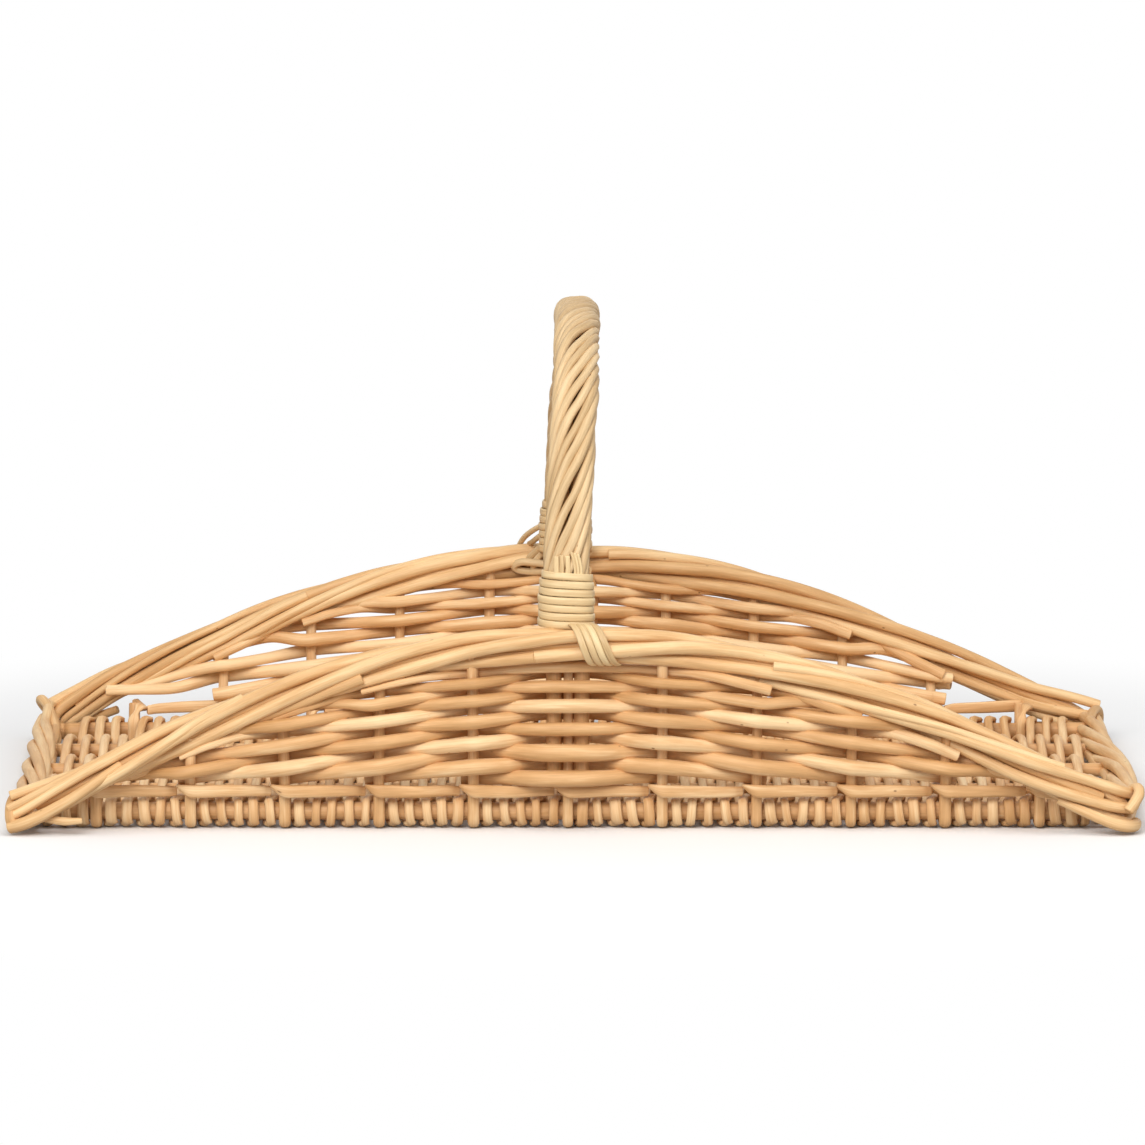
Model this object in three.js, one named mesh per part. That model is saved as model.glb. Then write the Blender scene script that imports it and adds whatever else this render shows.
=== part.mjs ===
// Garden trug woven in peeled willow, in millimetres, +Z up.
// X runs along the basket, the front wall is at -Y, and the origin is on the ground under the middle.
// The back wall is the front wall turned half a turn about Z, as a maker works both sides the same way.
import * as THREE from 'three';

// Overall sizes
const overallLength = 560;
const floorWidth = 303.6;
const overallHeight = 251;
const clearance = 0.3;

// Floor: sticks along X, and one weaver that runs to and fro along Y
const stakeSpacing = 47;
const passesPerBay = 10;
const weaverWidth = 3.8;
const weaverThickness = 3.6;
const edgeStickRadius = 4.5;
const innerStickRadius = 3.5;
const innerStickCount = 3;

// Stakes: round up the wall, flattened round the edge stick and along the foot
const stakeRadius = 2.6;
const scallomHalfThickness = 1.8;
const tailHalfThickness = 1.3;
const tailHalfHeight = 2.6;

// Wall weave
const rowsInMiddle = 11;
const lowRowWeight = 1.2;
const highRowWeight = 0.74;
const rowSwell = 1.18;
const rowPassLength = 5;
const rowEndLength = 11;

// Border and ends: rods twisted as a rope that follows the arc and turns the corner
const borderRodRadius = 3.6;
const borderRodCount = 4;
const borderLay = 320;
const borderStep = 32;
const borderMiddleTop = 104;
const borderEndTop = 20;
const borderArcPower = 1.25;
const borderCornerRadius = 14;
const wallLean = 4.6;

// Handle
const bowRodRadius = 3.9;
const springBelowBorder = 4;
const bowSquareness = 2.6;
const legBottom = 27;
const ropingThickness = 3.6;
const ropingGroups = 3;
const rodsPerGroup = 4;
const ropingLay = 132;
const ropingSteps = 26;
const whippingTurns = 7;
const whippingSteps = 16;
const skeinHalfWidth = 1.65;
const skeinHalfThickness = 0.6;
const skeinGap = 0.75;
const lashingStrands = 4;
const lashingDrift = 11;

// Sizes that follow from these
const halfLength = overallLength / 2;
const passPitch = stakeSpacing / passesPerBay;
const columnWidth = 2 * (stakeRadius + clearance);
const edgePitch = (stakeSpacing - columnWidth) / passesPerBay;
const stakeShift = passPitch / 2;
const turnRise = edgeStickRadius + clearance + weaverThickness / 2;
const crestRise = innerStickRadius + clearance + weaverThickness / 2;
const floorMiddle = turnRise + weaverThickness / 2;
const floorTop = 2 * floorMiddle;
const turnReach = floorWidth / 2 - weaverThickness / 2;
const edgeStickReach = turnReach - turnRise;
const innerStickSpacing = (2 * edgeStickReach) / (innerStickCount + 1);
const tailLevel = floorTop + clearance + tailHalfHeight;
const wallFoot = tailLevel + tailHalfHeight + clearance;
const wallReach = edgeStickReach + edgeStickRadius + clearance + 2 * stakeRadius - 0.8;
// Rods drawn as straight steps run closer together than the helix, by the cosine of half a step's twist
const borderStepShare = Math.cos((Math.PI * borderStep) / borderLay);
const borderHelixRadius = (borderRodRadius + clearance / 2) / Math.sin(Math.PI / borderRodCount)
  / borderStepShare;
const borderRadius = borderHelixRadius + borderRodRadius;
const borderOuterReach = wallReach + bowRodRadius + clearance + borderRadius;
const borderEndX = halfLength - borderRadius;
const floorHalfLength = borderEndX - borderRadius - clearance;
const lastPass = Math.floor((floorHalfLength - weaverWidth / 2) / passPitch);
const lastStake = Math.floor((floorHalfLength - stakeSpacing / 2) / stakeSpacing);
const lastWoven = lastStake - 1;
const coreRadius = 2 * bowRodRadius + clearance / 2;
const ropingInner = coreRadius + clearance;
const ropingOuter = ropingInner + ropingThickness;
const bowSpring = borderMiddleTop - springBelowBorder;
const bowHeight = overallHeight - ropingOuter - bowSpring;

// Finishes
const willowColours = [0xdcb27c, 0xd6a873, 0xe2bd8b, 0xcf9f69];
const skeinColour = 0xe6c897;
const willow = (tone) => new THREE.MeshStandardMaterial({
  color: willowColours[tone % willowColours.length],
  roughness: 0.62,
  metalness: 0,
});
const skein = () => new THREE.MeshStandardMaterial({ color: skeinColour, roughness: 0.48, metalness: 0 });

const trug = new THREE.Group();
trug.name = 'garden_trug';

function add(name, geometry, material, turned = false) {
  const mesh = new THREE.Mesh(geometry, material);
  mesh.name = name;
  mesh.rotation.z = turned ? Math.PI : 0;
  trug.add(mesh);
}

// Both long sides get the same piece, the back one turned half a turn
function addBothSides(name, geometry, material) {
  add(`${name}_front`, geometry, material);
  add(`${name}_back`, geometry, material, true);
}

// Outlines of a rod's section, in half widths and half thicknesses, anticlockwise
function roundOutline(sides) {
  const corners = [];
  for (let i = 0; i < sides; i++) {
    const angle = (2 * Math.PI * i) / sides;
    corners.push(new THREE.Vector2(Math.cos(angle), Math.sin(angle)));
  }
  return corners;
}

const flatOutline = [[1, 1], [-1, 1], [-1, -1], [1, -1]].map(([u, v]) => new THREE.Vector2(u, v));
const wedgeOutline = [[-1, -1], [1, -1], [0, 1]].map(([u, v]) => new THREE.Vector2(u, v));

// Strands lie side by side on a flat back: each has a crest, with a valley between neighbours
function strandOutline(strands, valley) {
  const corners = [new THREE.Vector2(-1, -1), new THREE.Vector2(1, -1)];
  for (let i = 0; i <= 2 * strands; i++) {
    corners.push(new THREE.Vector2(1 - i / strands, i % 2 === 0 ? valley : 1));
  }
  return corners;
}

// A closed solid through rings of points, with a flat cap on each end
function solidFromRings(rings, outline) {
  const corners = outline.length;
  const positions = rings.flat().flatMap((point) => [point.x, point.y, point.z]);
  const faces = [];
  for (let ring = 0; ring < rings.length - 1; ring++) {
    for (let i = 0; i < corners; i++) {
      const next = (i + 1) % corners;
      const low = ring * corners;
      const high = low + corners;
      faces.push(low + i, low + next, high + next);
      faces.push(low + i, high + next, high + i);
    }
  }
  const lastRing = (rings.length - 1) * corners;
  for (const [a, b, c] of THREE.ShapeUtils.triangulateShape(outline, [])) {
    faces.push(c, b, a);
    faces.push(lastRing + a, lastRing + b, lastRing + c);
  }
  const geometry = new THREE.BufferGeometry();
  geometry.setAttribute('position', new THREE.Float32BufferAttribute(positions, 3));
  geometry.setIndex(faces);
  geometry.computeVertexNormals();
  return geometry;
}

// A rod along its points. Each station gives a point, the way its width faces, and its half sizes.
// At a bend the section is mitred, so that the rod keeps its thickness round a sharp turn.
// A rod that shifts sideways at its turns keeps its width level: its sections ignore the shift.
function rod(stations, outline, widthStaysLevel = false) {
  const rings = stations.map((station, i) => {
    const previous = stations[Math.max(i - 1, 0)].point;
    const following = stations[Math.min(i + 1, stations.length - 1)].point;
    const arriving = station.point.clone().sub(previous);
    const leaving = following.clone().sub(station.point);
    if (widthStaysLevel) {
      arriving.projectOnPlane(station.wide);
      leaving.projectOnPlane(station.wide);
    }
    arriving.normalize();
    leaving.normalize();
    const along = arriving.clone().add(leaving).normalize();
    const wide = station.wide.clone().addScaledVector(along, -along.dot(station.wide)).normalize();
    const thick = along.clone().cross(wide);
    const isBend = i > 0 && i < stations.length - 1;
    const halfTurn = isBend ? Math.acos(Math.min(1, arriving.dot(leaving))) / 2 : 0;
    const bend = leaving.clone().sub(arriving).normalize();
    return outline.map((corner) => {
      const offset = wide.clone().multiplyScalar(corner.x * station.halfWide);
      offset.addScaledVector(thick, corner.y * station.halfThick);
      if (isBend) {
        offset.addScaledVector(bend, offset.dot(bend) * (1 / Math.cos(halfTurn) - 1));
      }
      return offset.add(station.point);
    });
  });
  return solidFromRings(rings, outline);
}

const alongX = new THREE.Vector3(1, 0, 0);
const upwards = new THREE.Vector3(0, 0, 1);

function station(point, wide, halfWide, halfThick = halfWide) {
  return { point, wide, halfWide, halfThick };
}

// A point of the front wall: reach is the distance from the basket's long centre plane
const wallPoint = (x, reach, z) => new THREE.Vector3(x, -reach, z);

const stakeX = (k) => k * stakeSpacing - stakeShift;

function smooth(low, high, value) {
  return THREE.MathUtils.smoothstep(value, low, high);
}

// Floor sticks
function addFloorSticks() {
  for (let i = 0; i <= innerStickCount + 1; i++) {
    const isEdge = i === 0 || i === innerStickCount + 1;
    const radius = isEdge ? edgeStickRadius : innerStickRadius;
    const stick = new THREE.CylinderGeometry(radius, radius, 2 * floorHalfLength, 8);
    stick.rotateZ(Math.PI / 2);
    stick.translate(0, -edgeStickReach + i * innerStickSpacing, floorMiddle);
    add(`floor_stick_${i + 1}`, stick, willow(i));
  }
}

// Near the front edge the passes draw together in each bay, and leave a column free for the stake
function frontPassX(pass) {
  const bay = Math.floor(pass / passesPerBay);
  const place = pass - bay * passesPerBay;
  return stakeX(bay) + columnWidth / 2 + edgePitch * (place + 0.5);
}
const backPassX = (pass) => -frontPassX(-pass);

// Where a pass lies along its way, from the front edge to the back one.
// Odd passes run over both edge sticks and even ones under them, so every turn winds the same way.
function passStations(pass) {
  const isOdd = Math.abs(pass % 2) === 1;
  const side = isOdd ? 1 : -1;
  const frontTurnX = (frontPassX(pass) + frontPassX(pass - side)) / 2;
  const backTurnX = (backPassX(pass) + backPassX(pass + side)) / 2;
  const edgeLevel = floorMiddle + side * turnRise;
  const overStick = edgeStickReach - weaverThickness / 2;
  const points = [new THREE.Vector3(frontTurnX, -turnReach, edgeLevel)];
  points.push(new THREE.Vector3(frontPassX(pass), -overStick, edgeLevel));
  for (let i = 1; i <= innerStickCount; i++) {
    const crestSide = i % 2 === 1 ? -side : side;
    const y = -edgeStickReach + i * innerStickSpacing;
    points.push(new THREE.Vector3(pass * passPitch, y, floorMiddle + crestSide * crestRise));
  }
  points.push(new THREE.Vector3(backPassX(pass), overStick, edgeLevel));
  points.push(new THREE.Vector3(backTurnX, turnReach, edgeLevel));
  if (!isOdd) {
    points.reverse();
  }
  return points.map((point) => station(point, alongX, weaverWidth / 2, weaverThickness / 2));
}

function addFloorWeaver() {
  const stations = [];
  for (let pass = -lastPass; pass <= lastPass; pass++) {
    stations.push(...passStations(pass));
  }
  add('floor_weaver', rod(stations, wedgeOutline, true), willow(2));
}

// Top of the border along the front wall, and how far out it lies. It passes outside the legs of the
// handle in the middle, sits on the wall, and goes outside the floor's edge towards the corners.
function borderTop(x) {
  const share = Math.max(0, 1 - (x / halfLength) ** 2);
  return borderEndTop + (borderMiddleTop - borderEndTop) * share ** borderArcPower;
}

function borderReach(x) {
  const distance = Math.abs(x);
  const onWall = smooth(0.4 * stakeSpacing, 1.3 * stakeSpacing, distance)
    * (1 - smooth(stakeX(lastWoven), floorHalfLength - stakeSpacing / 2, distance));
  return borderOuterReach - (borderOuterReach - wallReach - wallLean) * onWall;
}

// The slope of the border takes more height under it, and a stake's own width meets it sooner
const borderSlope = (x) => (borderTop(x + 1) - borderTop(x - 1)) / 2;

function wallTop(k) {
  const x = stakeX(k);
  const slope = Math.abs(borderSlope(x));
  const under = borderRadius * (1 + Math.hypot(1, slope)) + stakeRadius * slope + clearance;
  return borderTop(x) - under;
}

const hasUpright = (k) => Math.abs(k) <= lastWoven;

// The wall's middle plane at a stake. The middle stake stands upright between the handle's legs.
function stakeReach(k, z) {
  if (k === 0) {
    return wallReach;
  }
  const share = (z - wallFoot) / (wallTop(k) - wallFoot);
  return wallReach + (borderReach(stakeX(k)) - wallReach) * THREE.MathUtils.clamp(share, 0, 1);
}

// A stake from under the border down to the floor, round the edge stick between two turns of the
// weaver, out over the stick, across its own front and along the foot of the wall
function stakeStations(k) {
  const x = stakeX(k);
  const innerReach = edgeStickReach - turnRise;
  const stations = [];
  const put = (dx, reach, z, wide, halfWide, halfThick) => {
    stations.push(station(wallPoint(x + dx, reach, z), wide, halfWide, halfThick));
  };
  if (hasUpright(k)) {
    put(0, stakeReach(k, wallTop(k)), wallTop(k), alongX, stakeRadius, stakeRadius);
    put(0, wallReach, wallFoot, alongX, stakeRadius, stakeRadius);
  } else {
    put(0, wallReach, wallFoot - clearance, alongX, stakeRadius, stakeRadius);
  }
  const low = floorMiddle - turnRise;
  put(0, turnReach, floorTop - weaverThickness / 2, alongX, stakeRadius, scallomHalfThickness);
  put(0, turnReach, low, alongX, stakeRadius, scallomHalfThickness);
  put(0, innerReach, low, alongX, stakeRadius, scallomHalfThickness);
  put(0, innerReach, floorTop - tailHalfThickness, alongX, stakeRadius, tailHalfThickness);

  const rising = new THREE.Vector3(1, 0, 1);
  const around = stakeRadius + clearance + tailHalfThickness;
  const overLevel = floorTop + clearance + 1.3 * tailHalfThickness;
  put(-0.8, innerReach + 2, overLevel, rising, tailHalfHeight * 0.8, tailHalfThickness);
  put(-1.35 * around, wallReach - 0.9 * around, tailLevel, upwards, tailHalfHeight, tailHalfThickness);
  put(-0.92 * around, wallReach + 0.5 * around, tailLevel, upwards, tailHalfHeight, tailHalfThickness);
  put(0.1 * around, wallReach + 1.02 * around, tailLevel, upwards, tailHalfHeight, tailHalfThickness);
  put(1.6 * around, wallReach + 0.5 * around, tailLevel, upwards, tailHalfHeight, tailHalfThickness);
  put(3.5 * around, wallReach - 0.9 * around, tailLevel, upwards, tailHalfHeight, tailHalfThickness);
  if (k < lastStake) {
    const tailEnd = stakeSpacing - 1.35 * around - tailHalfThickness - 2;
    put(tailEnd, wallReach - 1.25 * around, tailLevel, upwards, tailHalfHeight, tailHalfThickness);
  }
  return stations;
}

function addStakes() {
  for (let k = -lastWoven; k <= lastWoven; k++) {
    const geometry = rod(stakeStations(k), flatOutline);
    addBothSides(`stake_${k + lastWoven + 1}`, geometry, willow(k + lastStake));
  }
  addBothSides('end_stake_left', rod(stakeStations(-lastStake), flatOutline), willow(0));
  addBothSides('end_stake_right', rod(stakeStations(lastStake), flatOutline), willow(2));
}

// The wall's rows, from the foot up: the first and last stake that each one passes.
// The low rows are one rod packed to and fro, so each starts where the one below it turns.
const woven = (k) => THREE.MathUtils.clamp(k, -lastWoven, lastWoven);
const packedTurns = [-1, 1, -2, 3, -4, 4].map(woven);
const packedRows = packedTurns.length - 1;
const rowSpans = [];
for (let row = 0; row < packedRows; row++) {
  rowSpans.push([packedTurns[row], packedTurns[row + 1]]);
}
for (const span of [[-4, 4], [-3, 4], [-3, 3], [-2, 2], [-2, 2], [-1, 1]]) {
  rowSpans.push(span.map(woven));
}

function rowPasses(row, k) {
  const [start, end] = rowSpans[row];
  return k >= Math.min(start, end) && k <= Math.max(start, end);
}

function rowWeight(row) {
  return THREE.MathUtils.lerp(lowRowWeight, highRowWeight, row / (rowsInMiddle - 1));
}

// Rows share the height at a stake by weight: the low rods are the thick ends of their rods
function rowAt(row, k) {
  let total = 0;
  let below = 0;
  for (let other = 0; other < rowsInMiddle; other++) {
    if (rowPasses(other, k)) {
      total += rowWeight(other);
      below += other < row ? rowWeight(other) : 0;
    }
  }
  const low = wallFoot + 2 * clearance;
  const height = wallTop(k) - 2 * clearance - low;
  const thickness = (height * rowWeight(row)) / total;
  return { z: low + (height * below) / total + thickness / 2, thickness };
}

// Half the depth of what a row goes round: the middle stake has the handle's legs beside it
const stakeLean = (k) => (stakeReach(k, wallTop(k)) - wallReach) / (wallTop(k) - wallFoot);
const blockDepth = (k) => (k === 0 ? bowRodRadius : stakeRadius * Math.hypot(1, stakeLean(k)));
const legSpread = stakeRadius + clearance + bowRodRadius;
const blockLength = (k) => (k === 0 ? legSpread + bowRodRadius + clearance : rowPassLength);

// A row's end falls away past its last stake, with the border above it
function endSlope(k, z) {
  const share = (z - wallFoot) / (wallTop(k) - wallFoot);
  return share * Math.abs(borderSlope(stakeX(k)));
}

function rowStations(row, from, to, startLength, endLength) {
  const stations = [];
  const step = Math.sign(to - from);
  for (let k = from; k !== to + step; k += step) {
    const { z, thickness } = rowAt(row, k);
    const radius = (rowSwell * thickness) / 2;
    const side = Math.abs((row + k) % 2) === 0 ? 1 : -1;
    const reach = stakeReach(k, z) + side * (blockDepth(k) + clearance + radius);
    const before = k === from ? startLength : blockLength(k);
    const after = k === to ? endLength : blockLength(k);
    let slope = 0;
    if (before === rowEndLength) {
      slope = endSlope(k, z);
    } else if (after === rowEndLength) {
      slope = -endSlope(k, z);
    }
    stations.push(station(wallPoint(stakeX(k) - step * before, reach, z - slope * before), upwards, radius));
    stations.push(station(wallPoint(stakeX(k) + step * after, reach, z + slope * after), upwards, radius));
    if (k !== to) {
      const beyond = rowAt(row, k + step);
      const middleX = (stakeX(k) + step * after + stakeX(k + step) - step * blockLength(k + step)) / 2;
      const middleReach = (stakeReach(k, z) + stakeReach(k + step, beyond.z)) / 2;
      const crossing = (thickness + beyond.thickness) / 4 - clearance;
      stations.push(station(wallPoint(middleX, middleReach, (z + beyond.z) / 2), upwards, crossing));
    }
  }
  return stations;
}

function addWallWeave() {
  const packed = [];
  const turnLength = 2 * stakeRadius;
  for (let row = 0; row < packedRows; row++) {
    const [from, to] = rowSpans[row];
    const startLength = row === 0 ? rowEndLength : turnLength;
    const endLength = row === packedRows - 1 ? rowEndLength : turnLength;
    packed.push(...rowStations(row, from, to, startLength, endLength));
    if (row < packedRows - 1) {
      const here = rowAt(row, to);
      const next = rowAt(row + 1, to);
      const radius = (here.thickness + next.thickness) / 4 - clearance / 2;
      const z = (here.z + next.z) / 2;
      const x = stakeX(to) + Math.sign(to - from) * (turnLength + 1.5 * radius);
      packed.push(station(wallPoint(x, stakeReach(to, z), z), upwards, radius));
    }
  }
  addBothSides('wall_packing', rod(packed, roundOutline(4)), willow(1));
  for (let row = packedRows; row < rowsInMiddle; row++) {
    const [from, to] = rowSpans[row];
    const geometry = rod(rowStations(row, from, to, rowEndLength, rowEndLength), roundOutline(4));
    addBothSides(`wall_row_${row + 1}`, geometry, willow(row));
  }
}

// The middle of the border's rope, by the distance along it: over the front wall from the left
// corner, round the right corner, and along the right end to the back wall
const borderStartX = -halfLength + 2;
const cornerStartX = borderEndX - borderCornerRadius;
const cornerLength = (Math.PI / 2) * borderCornerRadius;
const wallLength = cornerStartX - borderStartX;
const cornerCentreReach = borderOuterReach - borderCornerRadius;
const endRunLength = cornerCentreReach + borderOuterReach - borderRadius - clearance;
const borderLength = wallLength + cornerLength + endRunLength;
const endLevel = borderRadius + clearance;

function borderCentre(distance) {
  if (distance <= wallLength) {
    const x = borderStartX + distance;
    return wallPoint(x, borderReach(x), borderTop(x) - borderRadius);
  }
  const past = distance - wallLength;
  const fall = smooth(0, 4 * borderCornerRadius, past);
  const z = THREE.MathUtils.lerp(borderTop(cornerStartX) - borderRadius, endLevel, fall);
  if (past <= cornerLength) {
    const angle = past / borderCornerRadius;
    const x = cornerStartX + borderCornerRadius * Math.sin(angle);
    return wallPoint(x, cornerCentreReach + borderCornerRadius * Math.cos(angle), z);
  }
  return wallPoint(borderEndX, cornerCentreReach - (past - cornerLength), z);
}

// Where the rods are drawn: long steps on the wall and the end, short ones round the corner
function borderStops(stagger) {
  const marks = [stagger, wallLength, wallLength + cornerLength, borderLength - stagger];
  const steps = [borderStep, cornerLength / 4, borderStep];
  const stops = [marks[0]];
  for (let part = 0; part < steps.length; part++) {
    const count = Math.ceil((marks[part + 1] - marks[part]) / steps[part] - 0.01);
    for (let i = 1; i <= count; i++) {
      stops.push(THREE.MathUtils.lerp(marks[part], marks[part + 1], i / count));
    }
  }
  return stops;
}

function addBorder() {
  const stagger = 4;
  for (let i = 0; i < borderRodCount; i++) {
    const stations = [];
    for (const distance of borderStops(i * stagger)) {
      const centre = borderCentre(distance);
      const ahead = borderCentre(Math.min(distance + 1, borderLength));
      const behind = borderCentre(Math.max(distance - 1, 0));
      const along = ahead.sub(behind).normalize();
      const outward = along.clone().cross(upwards).normalize();
      const above = outward.clone().cross(along);
      const angle = (2 * Math.PI * i) / borderRodCount + (2 * Math.PI * distance) / borderLay;
      centre.addScaledVector(outward, borderHelixRadius * Math.cos(angle));
      centre.addScaledVector(above, borderHelixRadius * Math.sin(angle));
      stations.push(station(centre, upwards, borderRodRadius));
    }
    addBothSides(`border_rod_${i + 1}`, rod(stations, roundOutline(5)), willow(i));
  }
}

// The bow's centre line: upright legs, then half of a squared ellipse from wall to wall.
// It leans by the shift of the stakes, from the front middle stake to the back one.
const bowSamples = 96;
const bowPoints = [];
for (let i = 0; i <= bowSamples; i++) {
  const angle = (Math.PI * i) / bowSamples;
  const across = -Math.sign(Math.cos(angle)) * Math.abs(Math.cos(angle)) ** (2 / bowSquareness);
  const rise = Math.abs(Math.sin(angle)) ** (2 / bowSquareness);
  bowPoints.push(new THREE.Vector3(across * stakeShift, across * wallReach, bowSpring + bowHeight * rise));
}
const bowLine = new THREE.CatmullRomCurve3(bowPoints);
bowLine.arcLengthDivisions = 800;
const bowLength = bowLine.getLength();

function bowFrame(distance) {
  const share = distance / bowLength;
  const along = bowLine.getTangentAt(share);
  const wide = alongX.clone().addScaledVector(along, -along.x).normalize();
  return { point: bowLine.getPointAt(share), along, wide, thick: along.clone().cross(wide) };
}

function addBowRods() {
  const steps = 16;
  for (const side of [-1, 1]) {
    const stations = [];
    const put = (point, offset) => {
      stations.push(station(point.addScaledVector(alongX, side * offset), alongX, bowRodRadius));
    };
    const together = bowRodRadius + clearance / 2;
    const parting = bowSpring - 4 * bowRodRadius;
    put(wallPoint(-stakeShift, wallReach, legBottom), legSpread);
    put(wallPoint(-stakeShift, wallReach, parting), legSpread);
    for (let step = 0; step <= steps; step++) {
      put(bowFrame((bowLength * step) / steps).point, together);
    }
    put(new THREE.Vector3(stakeShift, wallReach, parting), legSpread);
    put(new THREE.Vector3(stakeShift, wallReach, legBottom), legSpread);
    add(side < 0 ? 'bow_rod_left' : 'bow_rod_right', rod(stations, roundOutline(6)), willow(side + 2));
  }
}

// Roping: each group of thin rods lies side by side and winds round the bow as one ribbon
const ropingStart = springBelowBorder + 1;

function addRoping() {
  const share = (2 * Math.PI) / ropingGroups;
  const groupAngle = share - clearance / ropingInner;
  const length = bowLength - 2 * ropingStart;
  const stepShare = Math.cos((Math.PI * length) / ropingSteps / ropingLay);
  const crestOverValley = 1.1;
  const section = [];
  for (let i = 0; i <= 2 * rodsPerGroup; i++) {
    const radius = i % 2 === 0 ? ropingOuter - crestOverValley : ropingOuter;
    section.push({ radius, angle: (groupAngle * i) / (2 * rodsPerGroup) });
  }
  const innerSteps = 3;
  const innerRadius = ropingInner / Math.cos(groupAngle / innerSteps / 2) / stepShare;
  for (let i = innerSteps; i >= 0; i--) {
    section.push({ radius: innerRadius, angle: (groupAngle * i) / innerSteps });
  }
  const outline = section.map(({ radius, angle }) => (
    new THREE.Vector2(radius * Math.cos(angle), radius * Math.sin(angle))
  ));
  for (let group = 0; group < ropingGroups; group++) {
    const rings = [];
    for (let step = 0; step <= ropingSteps; step++) {
      const distance = ropingStart + (length * step) / ropingSteps;
      const { point, wide, thick } = bowFrame(distance);
      const twist = share * group + (2 * Math.PI * distance) / ropingLay;
      rings.push(section.map(({ radius, angle }) => (
        point.clone()
          .addScaledVector(wide, radius * Math.cos(angle + twist))
          .addScaledVector(thick, radius * Math.sin(angle + twist))
      )));
    }
    add(`handle_roping_${group + 1}`, solidFromRings(rings, outline), willow(group));
  }
}

// Whipping: one unbroken strip of split skein wound round the roping at each foot
function whippingStations() {
  const pitch = 2 * skeinHalfWidth + skeinGap;
  const radius = ropingOuter + clearance + skeinHalfThickness;
  const stations = [];
  for (let step = 0; step <= whippingTurns * whippingSteps; step++) {
    const turns = step / whippingSteps;
    const distance = ropingStart + skeinHalfWidth + 2 * clearance + pitch * turns;
    const { point, along, wide, thick } = bowFrame(distance);
    const angle = 2 * Math.PI * turns;
    point.addScaledVector(wide, radius * Math.cos(angle));
    point.addScaledVector(thick, radius * Math.sin(angle));
    stations.push(station(point, along, skeinHalfWidth, skeinHalfThickness));
  }
  return stations;
}

// The least gap between one turn of the strip and the next, on the strip's own corner points
function printLeastGap(geometry) {
  const corners = flatOutline.length;
  const position = geometry.getAttribute('position');
  const points = [];
  for (let i = 0; i < position.count; i++) {
    points.push(new THREE.Vector3().fromBufferAttribute(position, i));
  }
  const halfTurn = (whippingSteps * corners) / 2;
  let least = Infinity;
  for (let i = 0; i < points.length; i++) {
    for (let j = i + halfTurn; j < points.length; j++) {
      least = Math.min(least, points[i].distanceTo(points[j]));
    }
  }
  console.log(`whipping: ${whippingTurns} turns, least gap to itself ${least.toFixed(2)} mm`);
}

// Lashing: flat strands side by side that run from the handle's foot down over the border
function lashingStations() {
  const steps = 8;
  const radius = borderRadius + clearance + skeinHalfThickness;
  const level = borderMiddleTop - borderRadius;
  const halfWidth = lashingStrands * skeinHalfWidth;
  const stations = [];
  for (let step = 0; step <= steps; step++) {
    const angle = THREE.MathUtils.degToRad(78 - (156 * step) / steps);
    const x = -stakeShift + halfWidth + (lashingDrift * step) / steps;
    const reach = borderOuterReach + radius * Math.cos(angle);
    stations.push(station(wallPoint(x, reach, level + radius * Math.sin(angle)), alongX, halfWidth,
      skeinHalfThickness));
  }
  return stations;
}

function addBindings() {
  const whipping = rod(whippingStations(), flatOutline);
  printLeastGap(whipping);
  addBothSides('whipping', whipping, skein());
  addBothSides('lashing', rod(lashingStations(), strandOutline(lashingStrands, 0.2)), skein());
}

addFloorSticks();
addFloorWeaver();
addStakes();
addWallWeave();
addBorder();
addBowRods();
addRoping();
addBindings();

export default trug;
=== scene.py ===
import math
import random

import bpy
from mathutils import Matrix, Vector


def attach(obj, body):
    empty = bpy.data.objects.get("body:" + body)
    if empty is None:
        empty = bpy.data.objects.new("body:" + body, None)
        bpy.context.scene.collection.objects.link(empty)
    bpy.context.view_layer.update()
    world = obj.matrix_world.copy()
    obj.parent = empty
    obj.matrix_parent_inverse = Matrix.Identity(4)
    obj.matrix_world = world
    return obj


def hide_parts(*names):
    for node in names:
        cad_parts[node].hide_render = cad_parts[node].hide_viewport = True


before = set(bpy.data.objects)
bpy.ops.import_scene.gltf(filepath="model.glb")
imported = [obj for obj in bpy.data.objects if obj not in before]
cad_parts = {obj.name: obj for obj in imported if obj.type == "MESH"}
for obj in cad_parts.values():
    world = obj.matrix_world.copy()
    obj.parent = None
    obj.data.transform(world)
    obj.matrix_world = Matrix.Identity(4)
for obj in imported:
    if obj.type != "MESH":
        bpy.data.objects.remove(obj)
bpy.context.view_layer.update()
bpy.context.scene.view_settings.view_transform = "Standard"

MM = 0.001
chance = random.Random(29)

# Sizes of the basket
HALF_LENGTH = 280
STAKE_SPACING = 47
PASSES_PER_BAY = 10
PASS_PITCH = STAKE_SPACING / PASSES_PER_BAY
STAKE_SHIFT = PASS_PITCH / 2
CLEARANCE = 0.3
STAKE_RADIUS = 2.6
EDGE_STICK_RADIUS = 4.5
INNER_STICK_RADIUS = 3.5
INNER_STICKS = 3
INNER_STICK_PLACES = range(1, INNER_STICKS + 1)
WEAVER_HALF = 1.8
TURN_RISE = EDGE_STICK_RADIUS + CLEARANCE + WEAVER_HALF
CREST_RISE = INNER_STICK_RADIUS + CLEARANCE + WEAVER_HALF
FLOOR_MIDDLE = TURN_RISE + WEAVER_HALF
FLOOR_TOP = 2 * FLOOR_MIDDLE
TURN_REACH = 150
EDGE_STICK_REACH = TURN_REACH - TURN_RISE
STICK_SPACING = 2 * EDGE_STICK_REACH / (INNER_STICKS + 1)
EDGE_PITCH = (STAKE_SPACING - 2 * (STAKE_RADIUS + CLEARANCE)) / PASSES_PER_BAY
TAIL_HALF_HEIGHT = 2.6
TAIL_HALF_THICKNESS = 1.3
TAIL_LEVEL = FLOOR_TOP + CLEARANCE + TAIL_HALF_HEIGHT
WALL_FOOT = TAIL_LEVEL + TAIL_HALF_HEIGHT + CLEARANCE
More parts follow.
